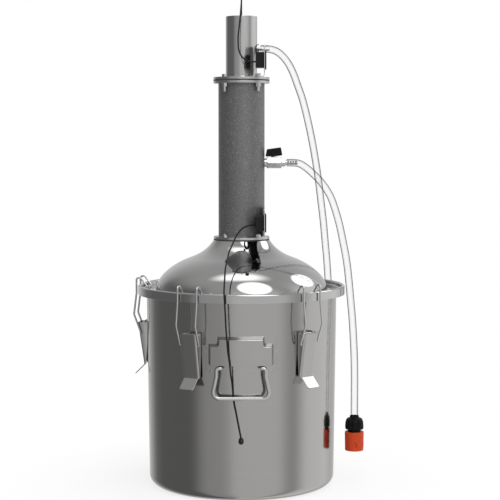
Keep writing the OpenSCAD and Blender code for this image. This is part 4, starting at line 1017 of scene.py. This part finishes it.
# The sleeve's dimples, in degrees and millimetres: their number, the turn of the first, the height of
# their widest place, how far they reach from it, their depth, and the sleeve's radius there
DIMPLES = 6
DIMPLE_TURN = 5
DIMPLE_Z = 8.6
DIMPLE_DOWN = 3.8
DIMPLE_UP = 7.7
DIMPLE_SIDE = 3.3
DIMPLE_DEPTH = 1.7
DIMPLE_R = 15.4


class FittingSettings(bpy.types.PropertyGroup):
    """Sizes and colours of the valve and the quick connector."""
    valve_z: length("Valve height", "Height of the valve", 525)
    lever_colour: hue("Lever", "Colour of the valve's lever", (0.004, 0.004, 0.0042))
    sleeve_colour: hue("Sleeve", "Colour of the connector's sleeve", (0.54, 0.055, 0.010))


def six_sides(angle, across):
    """The radius of a six-sided bar at each angle. High powers of the cosines to its faces are summed, so
    its edges are a little round."""
    power = 60
    total = sum(np.clip(np.cos(angle - turn), 0, 1) ** power for turn in np.arange(6) * np.pi / 3)
    return across / 2 * total ** (-1 / power)


def valve_faces(angle, outline):
    """Flattens the valve's body and its hose nut to six faces, as a milled bar is: there the radius is
    the smaller one of the outline's and of a six-sided bar's."""
    radius = outline[:, :1] / MM
    place = outline[:, 1:] / MM
    share = np.ones_like(radius * angle)
    for ends, inner_r, across in ((VALVE_BODY_ENDS, 8, 17.7), (VALVE_NUT_ENDS, 5.5, 12.4)):
        here = (place > ends[0]) & (place < ends[1]) & (radius > inner_r)
        share = np.where(here, np.minimum(1, six_sides(angle, across) / radius), share)
    return share


def valve_lever_grid():
    """The valve's black lever on its own axis: a block with three changes. Its top rises evenly along its
    length, its underside has a soft step up in the middle, and its length shrinks evenly upwards."""
    half, low, high = 13.8 * MM, 10.1 * MM, 22.0 * MM
    inset, small, ease = 0.9 * MM, 0.3 * MM, 1.2 * MM
    foot = [
        POINT + (0,), (half - inset, 4.1 * MM, 1.8 * MM, 0),
        (half - small, 4.7 * MM, 2.2 * MM, 0.4 * MM), (half, 5 * MM, 2.4 * MM, ease),
    ]
    top = [level[:3] + (high - level[3],) for level in foot[::-1]]
    foot = [level[:3] + (low + level[3],) for level in foot]
    levels = np.vstack([foot, np.linspace(foot[-1], top[0], 8)[1:-1], top])
    outline = stacked_grid(levels, 8)
    # five more points between each two of the outline, so that the step below has points to bend
    sides = np.roll(outline, -1, axis=1) - outline
    shares = np.linspace(0, 1, 6, endpoint=False)
    grid = np.concatenate([outline + share * sides for share in shares], axis=2)
    grid = grid.reshape(outline.shape[0], -1, 3)
    slant = 3.1 * MM * (grid[..., 0] + half) / (2 * half)
    upper = np.clip((grid[..., 2] - low) / (high - low), 0, 1)
    step = 1.8 * MM * soft_step((grid[..., 0] - 1.0 * MM) / (1.2 * MM))
    grid[..., 2] += slant * upper + step * (1 - upper)
    grid[..., 0] *= 1 - 0.17 * upper
    return grid


class STILL_OT_valve(bpy.types.Operator):
    """Makes the water valve with its black lever"""
    bl_idname = "still.valve"
    bl_label = "Water valve"

    def execute(self, context):
        look = context.scene.still_fittings
        metal = steel_finish("valve_plating", (0.62, 0.62, 0.61), 0.14)
        line = MM * rounded_line(VALVE_CORNERS, 0.12, 3, True)
        grid = along_x(turned_grid(line, 144, valve_faces)) + np.array((0, 0, look.valve_z))
        put_piece("valve_fitting", grid, metal, "still_body", "valve_body")
        line = MM * rounded_line(SEAT_CORNERS, 0.2, 3, True)
        grid = turned_grid(line, 64) + np.array((53 * MM, 0, look.valve_z))
        put_piece("valve_seat", grid, metal, "still_body")
        dress(metal, "valve_ball", "valve_stem")
        black = moulded_finish("lever_black", tint(look.lever_colour), 0.38, gloss=0.15)
        grid = valve_lever_grid() + np.array((52.7 * MM, 0, look.valve_z))
        put_piece("valve_grip", grid, black, "valve_handle", "valve_lever", wrap_rows=False)
        return {"FINISHED"}


def sleeve_dimples(angle, outline):
    """Drop-shaped dimples round the sleeve. The distance from a dimple's middle is a share of its reach,
    which below is an ellipse and above narrows evenly to a point. The depth is a soft step of it."""
    pitch = 360 / DIMPLES
    turn = np.degrees(angle) + 90 - DIMPLE_TURN
    aside = np.radians(np.mod(turn + pitch / 2, pitch) - pitch / 2) * DIMPLE_R
    above = outline[:, 1:] / MM - DIMPLE_Z
    taper = np.clip(1 - above / DIMPLE_UP, 0.05, 1)
    reach = np.hypot(aside / (DIMPLE_SIDE * taper), np.minimum(above, 0) / DIMPLE_DOWN)
    outside = outline[:, :1] > 14.2 * MM
    return 1 - DIMPLE_DEPTH * soft_step((1 - reach) / 0.4) * outside / DIMPLE_R


def nut_grips(angle, outline):
    """Eight grooves between the broad grips of the hose nut: the fourth power of the cosine of eight times
    the angle plus half a turn, where it is positive, with soft steps of the height at both ends."""
    groove = np.clip(np.cos(8 * angle + np.pi), 0, 1) ** 4
    height = outline[:, 1:] / MM
    zone = soft_step((height - 3.7) / 1.2) * soft_step((22 - height) / 5)
    return 1 - 0.085 * groove * zone * (outline[:, :1] > 9 * MM)


def sleeve_outline():
    """The sleeve's outline, with its long outer side in short steps for the dimples."""
    line = rounded_line(SLEEVE_CORNERS, SLEEVE_BENDS, 4, True)
    outer = (line[:, 0] > 15.0) & (line[:, 1] > 1.5) & (line[:, 1] < 28)
    first, last = np.flatnonzero(outer)[[0, -1]]
    heights = np.linspace(2.2, 28.0, 52)
    corner_radii, corner_heights = np.transpose(SLEEVE_CORNERS[2:5])
    radii = np.interp(heights, corner_heights, corner_radii)
    dense = np.stack([radii, heights], axis=-1)
    return MM * np.vstack([line[:first], dense, line[last + 1:]])


class STILL_OT_connector(bpy.types.Operator):
    """Makes the quick connector: the hose nut with its grips and the sleeve with its dimples"""
    bl_idname = "still.connector"
    bl_label = "Quick connector"

    def execute(self, context):
        look = context.scene.still_fittings
        black = moulded_finish("connector_black", (0.004, 0.004, 0.0045), 0.45, gloss=0.1)
        orange = moulded_finish("sleeve_orange", tint(look.sleeve_colour), 0.4, gloss=0.2)
        dress(black, "connector_body")
        line = MM * rounded_line(NUT_CORNERS, NUT_BENDS, 6, True)
        grid = turned_grid(line, 128, nut_grips) + node_foot("connector_nut")
        put_piece("hose_nut", grid, black, "still_body", "connector_nut")
        grid = turned_grid(sleeve_outline(), 192, sleeve_dimples) + node_foot("connector_sleeve")
        put_piece("grip_sleeve", grid, orange, "connector_sleeve", "connector_sleeve")
        return {"FINISHED"}


# Handles

# The hood's sheet in millimetres: half its width, and the heights of its lower end, of the hood's mouth
# and of its upper end
SHEET_HALF = 59.5
SHEET_LOW = 200.0
MOUTH_Z = 216.1
SHEET_TOP = 264.0

# The hood's outline is a narrow high rectangle and a wide low one: half the width and the top of each.
# The hood stands out by its depth, which gets less by the slope from a height a little over its mouth to
# the sheet's upper end
HOOD_SHAPES = ((36.5, 260.6), (50.5, 249.4))
HOOD_DEPTH = 14.6
HOOD_SLOPE = 6.6
SLOPE_Z = 226.0

# Where the spot welds are, aside and in height, and how far they stand out
WELDS = ((-56.2, 235.8), (56.2, 235.8), (-47.0, 205.4), (47.0, 205.4), (15.6, 204.2))
WELD_RISE = 0.8


class HandleSettings(bpy.types.PropertyGroup):
    """Sizes of the handles."""
    rod: length("Rod", "Diameter of the handle's rod", 6.5)
    drop: length("Drop", "How far the grip hangs below its pivots", 47)
    colour: hue("Steel", "Colour of the rods", (0.58, 0.58, 0.575))


def sheet_grid(low, high, rows, front):
    """A part of the hood's sheet: over each place (x, z) it stands out from the pot's wall by what front
    says, and by a bell of the distance from each spot weld. The border tapers into the wall."""
    x = np.linspace(-SHEET_HALF, SHEET_HALF, 221)[None, :]
    z = np.linspace(low, high, rows)[:, None]
    edge = np.minimum(SHEET_HALF - np.abs(x), np.minimum(z - SHEET_LOW, SHEET_TOP - z))
    # the sheet's middle layer lies 0.12 mm inside the wall, and sinks to 0.42 mm over a border of 9 mm
    radius = wall_radius(z * MM) / MM - 0.42 + 0.3 * soft_step(edge / 9.0)
    y = -np.sqrt(radius ** 2 - x ** 2) - front(x, z)
    for weld_x, weld_z in WELDS:
        y = y - WELD_RISE * np.exp(-((x - weld_x) ** 2 + (z - weld_z) ** 2) / 1.1)
    return MM * np.stack([x + 0 * z, y, z + 0 * x], axis=-1)


def hood_front(x, z):
    """How far the hood stands out: a soft step of the distance inside its outline, times its depth, which
    gets less upwards. The two parts of the outline are joined with round corners."""
    narrow, wide = (np.minimum(half - np.abs(x), 0.6 * (top - z)) for half, top in HOOD_SHAPES)
    round_in = 1.6
    inside = round_in * np.logaddexp(narrow / round_in, wide / round_in) - 0.35 * round_in
    depth = HOOD_DEPTH - HOOD_SLOPE * np.clip((z - SLOPE_Z) / (SHEET_TOP - SLOPE_Z), 0, 1)
    return depth * soft_step(inside / 2.6)


class STILL_OT_handles(bpy.types.Operator):
    """Makes the two hanging handles and their pressed hoods"""
    bl_idname = "still.handles"
    bl_label = "Handles"

    def execute(self, context):
        size = context.scene.still_handles
        steel = steel_finish("rod_steel", tint(size.colour), 0.15)
        sheet = bpy.data.materials["pot_sheet"]
        # one side of the rod, from its pivot to the grip
        y, top = -161.12, 212.0
        low = top - size.drop / MM
        side = [(29, y, top), (38, y, top), (38, y, top - 13), (45.3, y, low)]
        corners = side + [(-x, y, z) for x, y, z in side[::-1]]
        rod = rod_grid(MM * rounded_line(corners, [0, 4.5, 8, 10, 10, 8, 4.5, 0], 10), size.rod / 2, 20)
        hood = sheet_grid(MOUTH_Z, SHEET_TOP, 101, hood_front)
        strip = sheet_grid(SHEET_LOW, MOUTH_Z, 33, lambda x, z: 0)
        for name, turn in (("front", 0), ("rear", 180)):
            handle = grid_piece(name + "_handle", turned_about_z(rod, turn))
            give(handle, steel, name + "_bail", name + "_bail")
            cover = grid_piece(name + "_cover", turned_about_z(hood, turn), False, False)
            lower = grid_piece(name + "_strip", turned_about_z(strip, turn), False, False)
            for piece in (cover, lower):
                add_thickness(piece, 0.6 * MM)
                settle(piece)
            give(cover, sheet, "still_body", name + "_hood")
            give(lower, sheet, "still_body")
        return {"FINISHED"}


# Latches

# The lever's outline in millimetres, (radius, height): its top, its foot and the tip of its tab
LEVER_CORNERS = [(170.33, 263.0), (160.10, 193.5), (176.01, 177.6)]
LEVER_SHEET = 1.2

# The lever's sides in millimetres: the radius they reach back to, their depth at half the height and at
# the foot, how far below the top they end and over what way, and the radius of their bends
SIDE_BACK_R = 155.33
SIDE_MIDDLE = 9.9
SIDE_FOOT = 2.4
SIDE_END = 68.0
SIDE_FADE = 2.2
SIDE_BEND = 2.4


class LatchSettings(bpy.types.PropertyGroup):
    """Sizes of the latches."""
    wire: length("Wire", "Diameter of the latch wire", 3)
    width: length("Lever width", "Width of the lever", 28.6)
    colour: hue("Steel", "Colour of the latches", (0.47, 0.465, 0.455))


def lever_grid(width):
    """A latch lever, facing -Y. Down its length the outline drops, slopes in and turns out to the tab;
    across it is a channel whose sides get lower to nothing at the tab, with a round bend at each side."""
    line = rounded_line(LEVER_CORNERS, [0, 3.5, 0], 10)
    extra = np.linspace(0, 1, 24)[:, None]
    channel = line[:1] + (line[1:2] - line[:1]) * extra
    tab = line[-2:-1] + (line[-1:] - line[-2:-1]) * np.sin(extra * np.pi / 2)
    line = np.vstack([channel[:-1], line[1:-1], tab[1:]])
    # the sides reach back to the wall down to half the height, and then get lower
    drop = LEVER_CORNERS[0][1] - line[:, 1]
    half_drop = (LEVER_CORNERS[0][1] - LEVER_CORNERS[1][1]) / 2
    to_wall = line[:, 0] - SIDE_BACK_R
    lower = SIDE_MIDDLE - (drop - half_drop) * (SIDE_MIDDLE - SIDE_FOOT) / half_drop
    depth = np.where(drop < half_drop, to_wall, lower)
    in_tab = soft_step((drop - SIDE_END) / SIDE_FADE)
    depth = np.maximum(depth * (1 - in_tab), 0.02)
    # the tab is 12 mm to each side of the middle, with round corners of 3 mm at its tip
    tab_half, corner = 12.0, 3.0
    to_tip = np.linalg.norm(line - line[-1], axis=1)
    cut = np.clip(corner - to_tip, 0, corner)
    tab_half = tab_half - corner + np.sqrt(np.clip(corner ** 2 - cut ** 2, 0, corner ** 2))
    half = width / MM / 2 * (1 - in_tab) + tab_half * in_tab
    # across: the side's edge, the bend, and seven points on the flat to the other bend
    bend = np.minimum(SIDE_BEND, 0.9 * depth)
    turn = np.linspace(0, np.pi / 2, 7)
    left = [-half] + [-half + bend * (1 - np.cos(a)) for a in turn]
    sunk = [depth] + [bend * (1 - np.sin(a)) for a in turn]
    flat = [share * (half - bend) for share in np.linspace(-0.8, 0.8, 7)]
    across = np.stack(left + flat + [-x for x in left[::-1]], axis=1)
    inward = np.stack(sunk + [0 * x for x in flat] + sunk[::-1], axis=1)
    y = -(line[:, :1] - inward - LEVER_SHEET / 2)
    return MM * np.stack([across, y, line[:, 1:] + 0 * across], axis=-1)


def link_line():
    """The wire of a latch: in through the lever, out round the knee, up outside the collar, over it in an
    arch and down into the groove, and the same back."""
    low, knee = (163.93, 244.5), (175.93, 276.5)
    rim, arch_top, foot = 171.5, 336.5, 320.8
    side = [low, knee, (rim, 312.0), (rim, arch_top), (rim - 7, arch_top), (rim - 19, foot)]
    half, pin = 17.25, 11.9
    corners = [(-pin, -low[0], low[1])] + [(-half, -r, z) for r, z in side]
    corners += [(-x, y, z) for x, y, z in corners[::-1]]
    arm = [2.4, 6, 6, 4, 4, 2.4]
    return MM * rounded_line(corners, [0] + arm + arm[::-1] + [0], 9)


class STILL_OT_latches(bpy.types.Operator):
    """Makes the five latches: sheet levers, wire links, bases and pins"""
    bl_idname = "still.latches"
    bl_label = "Latches"

    def execute(self, context):
        size = context.scene.still_latches
        steel = steel_finish(
            "latch_steel", tint(size.colour), 0.12, ring=0.2, stretch=(1.0, 1.0, 0.03), grain=0.01)
        wire = steel_finish("wire_steel", shade(0.6), 0.15)
        levers = lever_grid(size.width)
        links = rod_grid(link_line(), size.wire / 2, 14)
        for number, angle in enumerate(LATCH_ANGLES, 1):
            lever = grid_piece(f"lever_{number}", turned_about_z(levers, angle), False, False)
            add_thickness(lever, LEVER_SHEET * MM)
            round_edges(lever, 0.25 * MM, 2, 50)
            settle(lever)
            give(lever, steel, f"latch_lever_{number}", f"latch_lever_{number}")
            link = grid_piece(f"link_{number}", turned_about_z(links, angle))
            give(link, wire, f"latch_link_{number}", f"latch_link_{number}")
        put_eased("latch_bases", "latch_plates", steel, 0.25 * MM)
        put_eased("latch_pins", "latch_rivets", wire, 0.3 * MM)
        return {"FINISHED"}


# Panel and registration


class STILL_PT_panel(bpy.types.Panel):
    """Lists what the add-on can make"""
    bl_idname = "STILL_PT_panel"
    bl_label = "Still"
    bl_space_type = "VIEW_3D"
    bl_region_type = "UI"
    bl_category = "Still"

    def draw(self, context):
        for operator in OPERATORS:
            self.layout.operator(operator.bl_idname)


SETTINGS = (
    ("still_stage", StageSettings), ("still_hoses", HoseSettings), ("still_pot", PotSettings),
    ("still_column", ColumnSettings), ("still_thermometers", ThermometerSettings),
    ("still_fittings", FittingSettings), ("still_handles", HandleSettings), ("still_latches", LatchSettings),
)
OPERATORS = (
    STILL_OT_stage, STILL_OT_hoses, STILL_OT_cords, STILL_OT_pot, STILL_OT_lid, STILL_OT_column,
    STILL_OT_head, STILL_OT_thermometers, STILL_OT_valve, STILL_OT_connector, STILL_OT_handles,
    STILL_OT_latches,
)


def register():
    for name, group in SETTINGS:
        bpy.utils.register_class(group)
        setattr(bpy.types.Scene, name, bpy.props.PointerProperty(type=group))
    for operator in OPERATORS:
        bpy.utils.register_class(operator)
    bpy.utils.register_class(STILL_PT_panel)


def unregister():
    bpy.utils.unregister_class(STILL_PT_panel)
    for operator in reversed(OPERATORS):
        bpy.utils.unregister_class(operator)
    for name, group in reversed(SETTINGS):
        delattr(bpy.types.Scene, name)
        bpy.utils.unregister_class(group)


def main():
    """Builds everything in order."""
    register()
    for step in ("stage", "connector", "hoses", "cords", "pot", "lid", "column", "head", "thermometers",
                 "valve", "handles", "latches"):
        getattr(bpy.ops.still, step)()


if __name__ == "__main__":
    main()
